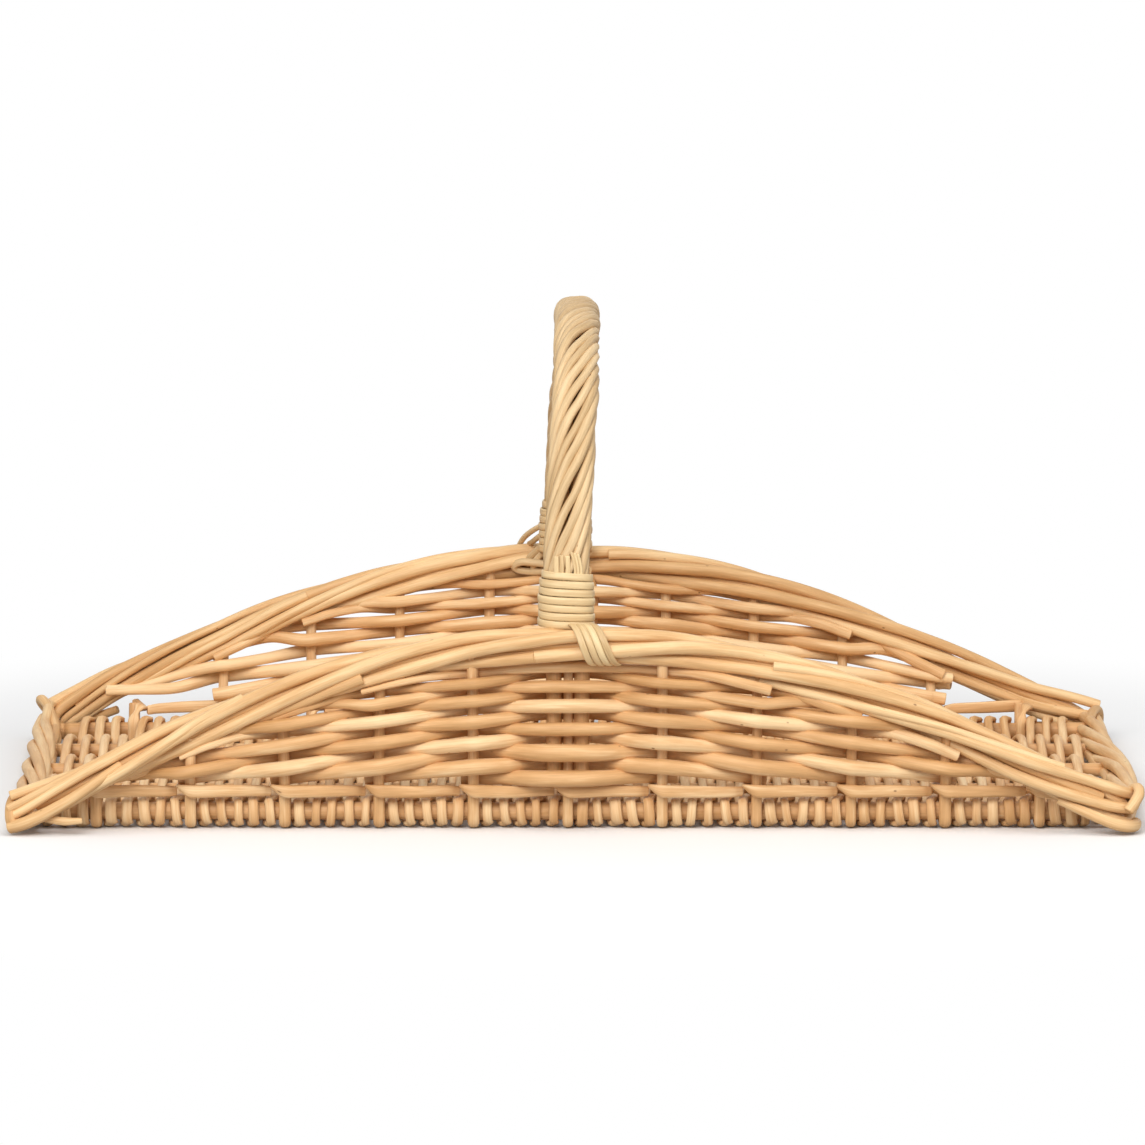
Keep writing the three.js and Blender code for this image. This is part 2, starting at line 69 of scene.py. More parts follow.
STAKE_BITE = 0.8
WALL_REACH = EDGE_STICK_REACH + EDGE_STICK_RADIUS + CLEARANCE + 2 * STAKE_RADIUS - STAKE_BITE
# Stakes are counted from the middle one, 0, which the handle's legs clasp. The last ones stop at the floor.
LAST_STAKE = 5
LAST_WOVEN = 4
# Floor passes are counted from the middle too. One more at each end than the solids have fills the floor up
# to the rope.
LAST_PASS = 56

# Sizes of the border
BORDER_ROD_RADIUS = 3.6
BORDER_RODS = 4
BORDER_LAY = 320
BORDER_HELIX = 5.55
BORDER_RADIUS = BORDER_HELIX + BORDER_ROD_RADIUS
BORDER_MIDDLE_TOP = 104
BORDER_END_TOP = 20
BORDER_ARC_POWER = 1.25
BORDER_CORNER_RADIUS = 7
BORDER_END_OUT = 2.5
WALL_LEAN = 4.6
BOW_ROD_RADIUS = 3.9
BORDER_OUTER_REACH = WALL_REACH + BOW_ROD_RADIUS + CLEARANCE + BORDER_RADIUS
BORDER_END_X = HALF_LENGTH - BORDER_RADIUS + BORDER_END_OUT
FLOOR_HALF_LENGTH = HALF_LENGTH - 2 * BORDER_RADIUS - CLEARANCE
GROUND_GAP = 0.6

# Sizes of the handle
HANDLE_TOP = 251
BOW_SPRING = 100
BOW_SQUARENESS = 2.6
LEG_BOTTOM = 27
ROPING_ROD_RADIUS = 2.35
ROPING_GROUPS = 3
RODS_IN_GROUP = 4
# Rods of a group lie close together, which leaves a slit beside the next group
ROPING_ROD_ANGLE = 27.5
ROPING_LAY = 146
ROPING_START = 3
BOW_OUTER = 11.6
BOW_FLATNESS = 0.84
BOW_LEAN = 2.3
BOW_FOOT_SWAY = {"front": 5.4, "back": 6.1}
BOW_HEIGHT = HANDLE_TOP - BOW_FLATNESS * BOW_OUTER - BOW_SPRING
WHIPPING_TURNS = 7
WHIPPING_START = 1.2
SKEIN_HALF_WIDTH = 1.95
# Cut ends of skein above the whipping: place across the foot, lean, half width and height
WHIPPING_STUBS = [(-4.3, 0.0, 1.35, 4.6), (-1.8, 0.2, 1.15, 5.2), (0.4, 0.3, 1.25, 4.9),
                  (3.4, 2.0, 0.75, 6.9), (4.8, 2.0, 0.8, 6.4), (6.3, 2.0, 0.75, 6.0)]
LASHING_STRANDS = 4
LASHING_HALF_WIDTH = 1.85
LASHING_PITCH = 3.5
LASHING_DRIFT = 11

# Pattern of the wood, in millimetres. Real fibres are about a tenth as wide and too fine to show, so they
# are drawn as coarse as the render needs.
FIBRE_WIDTH = 0.7
FIBRE_LENGTH = 16.0
BLOTCH_WIDTH = 3.5
BLOTCH_LENGTH = 34.0
BUD_SCARS_PER_MM = 0.115
PATTERN_ROD_RADIUS = 3.0
# Each rod takes its own stretch of the pattern, out of one this long
PATTERN_LENGTH = 9000.0


def srgb(hexes):
    """Linear colour from a hex value as a screen shows it."""
    linear = []
    for place in (0, 2, 4):
        value = int(hexes[place:place + 2], 16) / 255
        linear.append(value / 12.92 if value <= 0.04045 else ((value + 0.055) / 1.055) ** 2.4)
    return (*linear, 1.0)


def add_node(tree, kind, links=None, stops=(), **settings):
    """A node with its settings, its inputs linked from sockets or set to values, and a ramp's stops."""
    made = tree.nodes.new(kind)
    for setting, value in settings.items():
        setattr(made, setting, value)
    for name, value in (links or {}).items():
        socket = made.inputs[name]
        if isinstance(value, bpy.types.NodeSocket):
            tree.links.new(value, socket)
        else:
            socket.default_value = value
    for i, (place, colour) in enumerate(stops):
        elements = made.color_ramp.elements
        element = elements[i] if i < 2 else elements.new(place)
        element.position = place
        element.color = colour
    return made


# Materials

def rod_coordinates(tree, rod_radius):
    """Place on a rod in millimetres: round the rod in X and Y, and along it in Z."""
    ring = add_node(tree, "ShaderNodeAttribute", attribute_name="ring").outputs["Vector"]
    along = add_node(tree, "ShaderNodeAttribute", attribute_name="along").outputs["Fac"]
    tint = add_node(tree, "ShaderNodeAttribute", attribute_name="tint").outputs["Fac"]
    length = add_node(tree, "ShaderNodeMath", {0: along, 1: 1 / MM}, operation="MULTIPLY").outputs[0]
    apart = add_node(tree, "ShaderNodeMath", {0: tint, 1: PATTERN_LENGTH}, operation="MULTIPLY").outputs[0]
    moved = add_node(tree, "ShaderNodeMath", {0: length, 1: apart}, operation="ADD").outputs[0]
    links = {0: ring, "Scale": rod_radius}
    around = add_node(tree, "ShaderNodeVectorMath", links, operation="SCALE").outputs[0]
    split = add_node(tree, "ShaderNodeSeparateXYZ", {0: around}).outputs
    place = add_node(tree, "ShaderNodeCombineXYZ", {0: split[0], 1: split[1], 2: moved}).outputs[0]
    return place, tint


def stretched_noise(tree, place, across, lengthwise, detail):
    """Noise with features as wide as across and as long as lengthwise, in millimetres."""
    size = (1 / across, 1 / across, 1 / lengthwise)
    spot = add_node(tree, "ShaderNodeMapping", {"Vector": place, "Scale": size}).outputs[0]
    links = {"Vector": spot, "Scale": 1.0, "Detail": detail, "Roughness": 0.55}
    return add_node(tree, "ShaderNodeTexNoise", links).outputs["Fac"]


def willow_material(name, dark, middle, light, roughness=0.55):
    """Peeled willow: smooth pale wood just under the bark, a little waxy, with long fine fibres, warm
    blotches where the bark stuck, and small brown scars where buds were rubbed off."""
    material = bpy.data.materials.new(name)
    material.use_nodes = True
    tree = material.node_tree
    shader = tree.nodes["Principled BSDF"]
    place, tint = rod_coordinates(tree, PATTERN_ROD_RADIUS)

    fibres = stretched_noise(tree, place, FIBRE_WIDTH, FIBRE_LENGTH, 3.0)
    blotches = stretched_noise(tree, place, BLOTCH_WIDTH, BLOTCH_LENGTH, 2.0)
    tone = add_node(tree, "ShaderNodeMath", {0: tint, 1: 0.62}, operation="MULTIPLY").outputs[0]
    for pattern, share in ((blotches, 0.62), (fibres, 0.36)):
        links = {0: pattern, 1: share, 2: tone}
        tone = add_node(tree, "ShaderNodeMath", links, operation="MULTIPLY_ADD").outputs[0]
    stops = [(0.42, srgb(dark)), (0.78, srgb(middle)), (1.0, srgb(light))]
    wood = add_node(tree, "ShaderNodeValToRGB", {"Fac": tone}, stops).outputs["Color"]

    spot = add_node(tree, "ShaderNodeMapping", {"Vector": place, "Scale": (1.0, 1.0, 0.6)}).outputs[0]
    links = {"Vector": spot, "Scale": BUD_SCARS_PER_MM}
    buds = add_node(tree, "ShaderNodeTexVoronoi", links).outputs["Distance"]
    links = {"Value": buds, "From Min": 0.075, "From Max": 0.03}
    spots = add_node(tree, "ShaderNodeMapRange", links).outputs[0]
    links = {"Value": blotches, "From Min": 0.5, "From Max": 0.56, "To Max": 0.8}
    chosen = add_node(tree, "ShaderNodeMapRange", links).outputs[0]
    scar = add_node(tree, "ShaderNodeMath", {0: spots, 1: chosen}, operation="MULTIPLY").outputs[0]
    links = {0: scar, 6: wood, 7: srgb("7d4a22")}
    colour = add_node(tree, "ShaderNodeMix", links, data_type="RGBA").outputs[2]
    tree.links.new(colour, shader.inputs["Base Color"])

    # Fibres make the surface a little rougher here and smoother there
    links = {"Value": fibres, "From Min": 0.3, "From Max": 0.7, "To Min": roughness - 0.08,
             "To Max": roughness + 0.1}
    tree.links.new(add_node(tree, "ShaderNodeMapRange", links).outputs[0], shader.inputs["Roughness"])
    shader.inputs["IOR"].default_value = 1.46
    links = {0: scar, 1: -1.2, 2: fibres}
    height = add_node(tree, "ShaderNodeMath", links, operation="MULTIPLY_ADD").outputs[0]
    bump = add_node(tree, "ShaderNodeBump", {"Height": height, "Strength": 0.35, "Distance": 0.25 * MM})
    tree.links.new(bump.outputs[0], shader.inputs["Normal"])
    return material


def cut_willow_material():
    """Cut end of a willow rod: duller and rougher than the side, with a coarse grain."""
    material = bpy.data.materials.new("cut_willow")
    material.use_nodes = True
    tree = material.node_tree
    shader = tree.nodes["Principled BSDF"]
    spot = add_node(tree, "ShaderNodeTexCoord").outputs["Object"]
    links = {"Vector": spot, "Scale": 0.9 / MM, "Detail": 3.0}
    grain = add_node(tree, "ShaderNodeTexNoise", links).outputs["Fac"]
    stops = [(0.3, srgb("b88650")), (0.7, srgb("ecca98"))]
    colour = add_node(tree, "ShaderNodeValToRGB", {"Fac": grain}, stops).outputs["Color"]
    tree.links.new(colour, shader.inputs["Base Color"])
    shader.inputs["Roughness"].default_value = 0.8
    return material


cut_willow = cut_willow_material()
# Thin weavers and stakes are warm and a little pink
wall_willow = willow_material("peeled_willow", "b58147", "dcac76", "f3d09f")
# Stout border rods are smoother and more golden
border_willow = willow_material("stout_peeled_willow", "b3824b", "daad77", "eecb98")
# The thin rods of the handle are paler and greyer from handling
roping_willow = willow_material("thin_peeled_willow", "a17b4b", "ceae80", "e6c89b")
# Split skein shows the planed inner wood, pale, flat and satin
split_skein = willow_material("split_willow_skein", "ab8756", "d5b483", "e8cd9c", 0.42)


# Geometry Nodes tree that bends a willow rod along each line of its input mesh

def build_rod_tree():
    """The lines carry for each point its place along the rod, a tint, a radius, how flat the rod is and which
    way it is broad, and the rods keep the first two for their material."""
    tree = bpy.data.node_groups.new("bent_willow_rod", "GeometryNodeTree")
    for name, kind in (("Lines", "Geometry"), ("Sides", "Int"), ("Steps", "Int"), ("Swelling", "Float"),
                       ("Swelling length", "Float"), ("Seed", "Float"), ("Bark side", "Material"),
                       ("Cut end", "Material")):
        tree.interface.new_socket(name, in_out="INPUT", socket_type="NodeSocket" + kind)
    tree.interface.new_socket("Rods", in_out="OUTPUT", socket_type="NodeSocketGeometry")
    given = add_node(tree, "NodeGroupInput").outputs
    stored = {}
    for name in ("along", "tint", "radius", "flat", "broad", "middle"):
        kind = "FLOAT_VECTOR" if name in ("broad", "middle") else "FLOAT"
        reader = add_node(tree, "GeometryNodeInputNamedAttribute", {"Name": name}, data_type=kind)
        stored[name] = reader.outputs["Attribute"]

    lines = add_node(tree, "GeometryNodeMeshToCurve", {"Mesh": given["Lines"]})
    rounded = add_node(tree, "GeometryNodeCurveSplineType", {"Curve": lines.outputs[0]},
                       spline_type="CATMULL_ROM")
    finer = add_node(tree, "GeometryNodeSetSplineResolution",
                     {"Geometry": rounded.outputs[0], "Resolution": given["Steps"]})
    poly = add_node(tree, "GeometryNodeResampleCurve", {"Curve": finer.outputs[0]}, mode="EVALUATED")

    # The rod swells and thins a little along its length
    links = {0: stored["along"], 1: given["Swelling length"]}
    place = add_node(tree, "ShaderNodeMath", links, operation="DIVIDE").outputs[0]
    other = add_node(tree, "ShaderNodeMath", {0: stored["tint"], 1: 97.0}, operation="MULTIPLY").outputs[0]
    spot = add_node(tree, "ShaderNodeCombineXYZ", {0: place, 1: other, 2: given["Seed"]}).outputs[0]
    noise = add_node(tree, "ShaderNodeTexNoise", {"Vector": spot, "Scale": 1.0, "Detail": 1.0}).outputs[0]
    centred = add_node(tree, "ShaderNodeMath", {0: noise, 1: 0.5}, operation="SUBTRACT").outputs[0]
    links = {0: centred, 1: given["Swelling"], 2: 1.0}
    swell = add_node(tree, "ShaderNodeMath", links, operation="MULTIPLY_ADD").outputs[0]
    links = {0: stored["radius"], 1: swell}
    radius = add_node(tree, "ShaderNodeMath", links, operation="MULTIPLY").outputs[0]

    circle = add_node(tree, "GeometryNodeCurvePrimitiveCircle", {"Resolution": given["Sides"], "Radius": 1.0},
                      mode="RADIUS")
    marked = {}
    for name, curve in (("middle", poly), ("ring", circle)):
        marked[name] = add_node(tree, "GeometryNodeStoreNamedAttribute",
                                {"Geometry": curve.outputs[0], "Name": name},
                                data_type="FLOAT_VECTOR", domain="POINT")
        tree.links.new(add_node(tree, "GeometryNodeInputPosition").outputs[0], marked[name].inputs["Value"])
    tube = add_node(tree, "GeometryNodeCurveToMesh",
                    {"Curve": marked["middle"].outputs[0], "Profile Curve": marked["ring"].outputs[0],
                     "Scale": radius, "Fill Caps": True})

    # A flat rod keeps its breadth, loses thickness and gets a squarer section
    position = add_node(tree, "GeometryNodeInputPosition").outputs[0]
    middle = stored["middle"]
    broad = stored["broad"]
    offset = add_node(tree, "ShaderNodeVectorMath", {0: position, 1: middle}, operation="SUBTRACT").outputs[0]
    breadth = add_node(tree, "ShaderNodeVectorMath", {0: offset, 1: broad},
                       operation="DOT_PRODUCT").outputs["Value"]
    wide = add_node(tree, "ShaderNodeVectorMath", {0: broad, "Scale": breadth}, operation="SCALE").outputs[0]
    thick = add_node(tree, "ShaderNodeVectorMath", {0: offset, 1: wide}, operation="SUBTRACT").outputs[0]
    share = add_node(tree, "ShaderNodeVectorMath", {0: thick}, operation="LENGTH").outputs["Value"]
    whole = add_node(tree, "ShaderNodeVectorMath", {0: offset}, operation="LENGTH").outputs["Value"]
    share = add_node(tree, "ShaderNodeMath", {0: share, 1: whole}, operation="DIVIDE").outputs[0]
    share = add_node(tree, "ShaderNodeMath", {0: share, 1: 0.1}, operation="MAXIMUM").outputs[0]
    power = add_node(tree, "ShaderNodeMath", {0: stored["flat"], 1: 0.7, 2: -0.7},
                     operation="MULTIPLY_ADD").outputs[0]
    fuller = add_node(tree, "ShaderNodeMath", {0: share, 1: power}, operation="POWER").outputs[0]
    less = add_node(tree, "ShaderNodeMath", {0: stored["flat"], 1: fuller}, operation="MULTIPLY").outputs[0]
    flat = add_node(tree, "ShaderNodeVectorMath", {0: thick, "Scale": less}, operation="SCALE").outputs[0]
    section = add_node(tree, "ShaderNodeVectorMath", {0: wide, 1: flat}, operation="ADD").outputs[0]
    final = add_node(tree, "ShaderNodeVectorMath", {0: middle, 1: section}, operation="ADD").outputs[0]
    shaped = add_node(tree, "GeometryNodeSetPosition", {"Geometry": tube.outputs[0], "Position": final})

    # The flat caps have more corners than the side's faces
    corners = add_node(tree, "GeometryNodeCornersOfFace")
    tree.links.new(add_node(tree, "GeometryNodeInputIndex").outputs[0], corners.inputs["Face Index"])
    is_cap = add_node(tree, "FunctionNodeCompare", {"A": corners.outputs["Total"], "B": 4},
                      data_type="INT", operation="GREATER_THAN").outputs[0]
    is_side = add_node(tree, "FunctionNodeBooleanMath", {0: is_cap}, operation="NOT").outputs[0]
    links = {"Geometry": shaped.outputs[0], "Shade Smooth": is_side}
    shaded = add_node(tree, "GeometryNodeSetShadeSmooth", links)
    last = add_node(tree, "GeometryNodeRealizeInstances", {"Geometry": shaded.outputs[0]}).outputs[0]
    for chosen, material in ((is_side, given["Bark side"]), (is_cap, given["Cut end"])):
        links = {"Geometry": last, "Selection": chosen, "Material": material}
        last = add_node(tree, "GeometryNodeSetMaterial", links).outputs[0]
    for name in ("middle", "broad", "flat", "radius"):
        last = add_node(tree, "GeometryNodeRemoveAttribute", {"Geometry": last, "Name": name}).outputs[0]
    add_node(tree, "NodeGroupOutput", {"Rods": last})
    return tree


rod_tree = build_rod_tree()

# Points this far in from a cut end keep the curve from swinging past it, and the end itself is rubbed down
CUT_DEPTHS = (7, 2, 0.4)
CUT_END_SHARE = 0.86


def rod(points, radius, flat=1.0, broad=(0, 0, 1), tone=0.5, spread=0.35, cut=True):
    """One willow rod in millimetres. radius, flat and broad are one value or one for each point.
    A cut rod has its corners rubbed off at both ends."""
    count = len(points)
    radii = list(radius) if isinstance(radius, (list, tuple)) else [radius] * count
    flats = list(flat) if isinstance(flat, (list, tuple)) else [flat] * count
    broads = list(broad) if isinstance(broad, list) else [broad] * count
    points = [Vector(point) for point in points]
    if cut:
        for end, inner in ((0, 1), (-1, -2)):
            inwards = points[inner] - points[end]
            change = radii[inner] - radii[end]
            for depth in CUT_DEPTHS:
                share = depth / inwards.length
                if share < 0.7:
                    place = 1 if end == 0 else len(points) - 1
                    points.insert(place, points[end] + share * inwards)
                    radii.insert(place, radii[end] + share * change)
                    flats.insert(place, flats[end])
                    broads.insert(place, broads[end])
            radii[end] *= CUT_END_SHARE
    tint = min(0.999, max(0.001, tone + chance.uniform(-0.5, 0.5) * spread))
    return {"points": points, "radii": radii, "flats": flats, "broads": broads, "tint": tint}


def make_rods(name, rods, material, nodes, sides=8, steps=4, swelling=0.14, swelling_length=28.0):
    """A mesh of willow rods under one name, which stands for the CAD nodes named."""
    lines = bpy.data.meshes.new(name)
    vertices = []
    edges = []
    values = {"radius": [], "flat": [], "tint": [], "along": []}
    broads = []
    for one in rods:
        first = len(vertices)
        travelled = chance.uniform(0, 0.2)
        for i, point in enumerate(one["points"]):
            if i > 0:
                travelled += (point - one["points"][i - 1]).length * MM
                edges.append((first + i - 1, first + i))
            vertices.append(point * MM)
            values["radius"].append(one["radii"][i] * MM)
            values["flat"].append(one["flats"][i])
            values["tint"].append(one["tint"])
            values["along"].append(travelled)
            broads.extend(Vector(one["broads"][i]).normalized())
    lines.from_pydata(vertices, edges, [])
    for key, numbers in values.items():
        lines.attributes.new(key, "FLOAT", "POINT").data.foreach_set("value", numbers)
    lines.attributes.new("broad", "FLOAT_VECTOR", "POINT").data.foreach_set("vector", broads)

    piece = bpy.data.objects.new(name, lines)
    bpy.context.scene.collection.objects.link(piece)
    modifier = piece.modifiers.new("rods", "NODES")
    modifier.node_group = rod_tree
    wanted = {"Sides": sides, "Steps": steps, "Swelling": swelling, "Swelling length": swelling_length * MM,
              "Seed": float(len(rods)), "Bark side": material, "Cut end": cut_willow}
    for item in rod_tree.interface.items_tree:
        if item.in_out == "INPUT" and item.name in wanted:
            modifier[item.identifier] = wanted[item.name]
    bpy.context.view_layer.update()
    evaluated = piece.evaluated_get(bpy.context.evaluated_depsgraph_get())
    finished = bpy.data.meshes.new_from_object(evaluated)
    finished.name = name
    piece.modifiers.clear()
    piece.data = finished
    bpy.data.meshes.remove(lines)
    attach(piece, "root")
    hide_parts(*nodes)
    return piece


def turned(points):
    """The same points on the back of the basket, which is the front turned half a turn."""
    return [Vector((-x, -y, z)) for x, y, z in points]


def turn_round(rods):
    """Turn finished rods to the back of the basket."""
    for one in rods:
        one["points"] = turned(one["points"])


def raised(points, extra=0.0):
    """Points of the back wall, which follows its border up, before they are turned to the back."""
    lifted = []
    for x, y, z in points:
        height = border_top(x) - 2 * BORDER_RADIUS - WALL_FOOT
        share = min(1.2, max(0.0, (z - WALL_FOOT) / max(height, 12)))
        lifted.append(Vector((x, y, z + share * (back_lift(x) + extra))))
    return lifted


def smooth(low, high, value):
    """0 up to low, 1 from high on, with an easy curve between them."""
    share = min(1.0, max(0.0, (value - low) / (high - low)))
    return share * share * (3 - 2 * share)


def blend(low, high, share):
    return low + (high - low) * share


def stake_x(k):
    """Place of a front stake along the wall. The back wall, turned, has its stakes half a pass further on."""
    return k * STAKE_SPACING - STAKE_SHIFT


# Floor

PASS_FLATNESS = 0.8
TURN_ANGLES = (-78, -42, 0, 42, 78)
TURN_HALF_THICKNESS = 1.35


def stick_y(i):
    return -EDGE_STICK_REACH + i * STICK_SPACING


def front_pass_x(number):
    """Place where a floor pass meets the front edge stick, with room left for the stakes between the bays."""
    bay = number // PASSES_PER_BAY
    place = number - bay * PASSES_PER_BAY
    return stake_x(bay) + STAKE_RADIUS + CLEARANCE + EDGE_PITCH * (place + 0.5)


def pass_line(number):
    """Points of one pass of the floor weaver from front to back, with its radius and flatness."""
    side = 1 if number % 2 else -1
    sway = chance.uniform(-0.5, 0.5)
    thick = chance.uniform(2.25, 2.55)
    edge_level = FLOOR_MIDDLE + side * (TURN_RISE - 1.1)
    end_reach = EDGE_STICK_REACH - 2 * EDGE_STICK_RADIUS
    line = [(front_pass_x(number), -end_reach, edge_level, thick, PASS_FLATNESS)]
    for i in INNER_STICK_PLACES:
        crest = side if i % 2 == 0 else -side
        level = FLOOR_MIDDLE + crest * CREST_RISE
        line.append((number * PASS_PITCH + sway, stick_y(i), level, thick, PASS_FLATNESS))
    line.append((-front_pass_x(-number), end_reach, edge_level, thick, PASS_FLATNESS))
    return line


def turn_line(low_x, high_x, upwards, at_back):
    """Points of a turn round an edge stick. The turns are the teeth along the foot of the wall: the rod is
    pressed flat there and stands upright or a little askew."""
    half = chance.uniform(2.15, 3.0)
    lean = chance.uniform(-0.8, 0.5)
    hook = chance.uniform(-0.3, 0.9)
    middle = (low_x + high_x) / 2 + chance.uniform(-0.6, 0.6)
    high_share = chance.uniform(0.86, 0.98)
    low_share = chance.uniform(0.78, 0.94)
    line = []
    for angle in TURN_ANGLES:
        share = math.sin(math.radians(angle))
        out = TURN_RISE * abs(math.cos(math.radians(angle))) ** 0.7
        rise = TURN_RISE * math.copysign(abs(share) ** 0.8, share) * (high_share if share > 0 else low_share)
        reach = -(EDGE_STICK_REACH + out)
        x = middle + lean * share + hook * min(0.0, share) ** 2
        y = -reach if at_back else reach
        line.append((x, y, FLOOR_MIDDLE + rise, half, TURN_HALF_THICKNESS / half))
    return line if upwards else line[::-1]


def floor_rods():
    """The weaver, cut into the rods that a maker would join, each a few passes long."""
    rods = []
    line = []
    left = chance.randint(3, 6)
    for number in range(-LAST_PASS, LAST_PASS + 1):
        one = pass_line(number)
        runs_back = number % 2 != 0
        line.extend(one if runs_back else one[::-1])
        if number == LAST_PASS:
            break
        left -= 1
        if runs_back:
            low, high = -front_pass_x(-number - 1), -front_pass_x(-number)
            line.extend(turn_line(low, high, False, True))
        else:
            line.extend(turn_line(front_pass_x(number), front_pass_x(number + 1), True, False))
        if left == 0:
            following = pass_line(number + 1)
            line.append(following[0] if not runs_back else following[-1])
            rods.append(line)
            line = []
            left = chance.randint(3, 6)
    rods.append(line)
    made = []
    for line in rods:
        points = [point[:3] for point in line]
        radii = [point[3] for point in line]
        flats = [point[4] for point in line]
        made.append(rod(points, radii, flats, (1, 0, 0), 0.5, 0.4))
    return made


def floor_sticks():
    """Sticks that run on into the end's rope. The right end stands a little further out than the left one."""
    sticks = []
    stops = 12
    for i in range(INNER_STICKS + 2):
        points = []
        for step in range(stops + 1):
            x = blend(1 - BORDER_END_X, BORDER_END_X + 3, step / stops)
            y = stick_y(i) + chance.uniform(-0.3, 0.3)
            points.append((x, y, FLOOR_MIDDLE + chance.uniform(-0.2, 0.2)))
        radius = INNER_STICK_RADIUS if i in INNER_STICK_PLACES else EDGE_STICK_RADIUS
        sticks.append(rod(points, radius, tone=0.35))
    return sticks


make_rods("floor_weave", floor_rods(), wall_willow, ["floor_weaver"], steps=4, swelling=0.1)
make_rods("floor_sticks", floor_sticks(), wall_willow,
          [f"floor_stick_{i + 1}" for i in range(INNER_STICKS + 2)], sides=12, steps=4)


# Border line

def border_top(x):
    """Height of the top of the border: an arc over the wall that dies away into the corners."""
    share = max(0.0, 1 - (x / HALF_LENGTH) ** 2)
    return BORDER_END_TOP + (BORDER_MIDDLE_TOP - BORDER_END_TOP) * share ** BORDER_ARC_POWER


def back_lift(x):
    """The back border stands a little prouder than the front one, most at its right-hand end."""
    return (2.2 + 0.016 * x) * (1 - smooth(235, 275, abs(x)))


def border_slope(x):
    return (border_top(x + 1) - border_top(x - 1)) / 2


def border_reach(x):
    """How far out the border's middle line is: outside the handle's feet and the corners, and drawn in to the
    stakes between them."""
    distance = abs(x)
    on_wall = smooth(0.4 * STAKE_SPACING, 1.3 * STAKE_SPACING, distance)
    on_wall *= 1 - smooth(stake_x(LAST_WOVEN), FLOOR_HALF_LENGTH - STAKE_SPACING / 2, distance)
    return BORDER_OUTER_REACH - (BORDER_OUTER_REACH - WALL_REACH - WALL_LEAN) * on_wall


def wall_top(k):
    """Height at which a stake meets the underside of the border."""
    x = stake_x(k)
    slope = abs(border_slope(x))
    under = BORDER_RADIUS * (1 + math.hypot(1, slope)) + STAKE_RADIUS * slope + CLEARANCE
    return border_top(x) - under


def stake_reach(k, z):
    """How far out a stake is at a height. It leans out to the border, and the middle one stands upright."""
    if k == 0:
        return WALL_REACH
    share = (z - WALL_FOOT) / (wall_top(k) - WALL_FOOT)
    return WALL_REACH + (border_reach(stake_x(k)) - WALL_REACH) * min(1.0, max(0.0, share))


# Stakes

def stake_rod(k, at_back):
    """A stake from its top down the wall, between the teeth, in under the edge stick and up again behind it,
    then over its own foot as a flat tail that runs along the wall to the next stake."""
    x = stake_x(k)
    inner = EDGE_STICK_REACH - TURN_RISE
    low = FLOOR_MIDDLE - TURN_RISE + 0.6
    half = STAKE_RADIUS * chance.uniform(0.98, 1.12)
    up = Vector((0, 0, 1))
    side = Vector((1, 0, 0))
    points = []
    radii = []
    flats = []
    broads = []

    def put(dx, reach, z, radius=half, flat=1.0, broad=side):
        points.append((x + dx, -reach, z))
        radii.append(radius)
        flats.append(flat)
        broads.append(broad)

    if abs(k) <= LAST_WOVEN:
        top = wall_top(k) + 9
        lean = chance.uniform(-1.0, 1.0)
        put(lean, stake_reach(k, top), top)
        halfway = (WALL_FOOT + top) / 2
        put(lean / 2, stake_reach(k, halfway), halfway)
        put(0, WALL_REACH, WALL_FOOT)
    else:
        put(0, WALL_REACH, WALL_FOOT - 0.5)
    put(0, TURN_REACH + 0.6, FLOOR_TOP - 3, half * 1.04, 0.75)
    put(0, TURN_REACH, FLOOR_MIDDLE, half * 1.06, 0.7)
    put(0, TURN_REACH - 0.6, low + 2, half * 1.06, 0.7)
    put(0, TURN_REACH - 3.2, low, half, 0.7)
    put(0, inner + 2, low + 0.4, half, 0.7)
    put(0, inner, FLOOR_MIDDLE, half, 0.6)
    put(-0.5, inner + 0.5, FLOOR_TOP - 1, half, 0.55)
    around = STAKE_RADIUS + CLEARANCE + TAIL_HALF_THICKNESS
    fold = Vector((-0.66, 0, 0.75))
    put(-3.0, inner + 6, TAIL_LEVEL + 1.4, 2.6, 0.45, Vector((-1, 0, 0.3)))
    put(-4.6, WALL_REACH - 0.9 * around, TAIL_LEVEL + 1.2, 2.8, 0.38, Vector((-0.85, 0, 0.5)))
    put(-3.6, WALL_REACH + 0.6 * around, TAIL_LEVEL + 0.9, 3.9, 0.32, fold)
    put(0.8, WALL_REACH + 1.02 * around, TAIL_LEVEL + 0.4, 3.4, 0.38, Vector((-0.12, 0, 1)))
    if k < LAST_STAKE:
        put(6.5, WALL_REACH + 0.8 * around, TAIL_LEVEL + 0.2, 3.3, 0.4, up)
        put(20, WALL_REACH + 0.25 * around, TAIL_LEVEL + chance.uniform(-0.5, 0.3), 3.1, 0.4, up)
        put(34, WALL_REACH - 0.5 * around, TAIL_LEVEL + chance.uniform(-1.0, 0.0), 2.8, 0.4, up)
        put(STAKE_SPACING - 7, WALL_REACH - 1.2 * around, TAIL_LEVEL - 0.8, 2.5, 0.4, up)
    elif not at_back:
        put(6, WALL_REACH + 0.9 * around, TAIL_LEVEL - 0.6, 3.2, 0.4, up)
        put(14, WALL_REACH + 0.9 * around, TAIL_LEVEL - 3.0, 3.1, 0.4, Vector((0.3, 0, 1)))
    return points, radii, flats, broads


for place in ("front", "back"):
    rods = []
    for k in range(-LAST_STAKE, LAST_STAKE + 1):
        points, radii, flats, broads = stake_rod(k, place == "back")
        if place == "back":
            points = turned(raised(points))
        rods.append(rod(points, radii, flats, broads, tone=0.55))
    names = [f"stake_{k + LAST_WOVEN + 1}_{place}" for k in range(-LAST_WOVEN, LAST_WOVEN + 1)]
    names += [f"end_stake_left_{place}", f"end_stake_right_{place}"]
    make_rods(f"{place}_stakes", rods, wall_willow, names, sides=10, steps=5, swelling=0.1)


# Wall weave

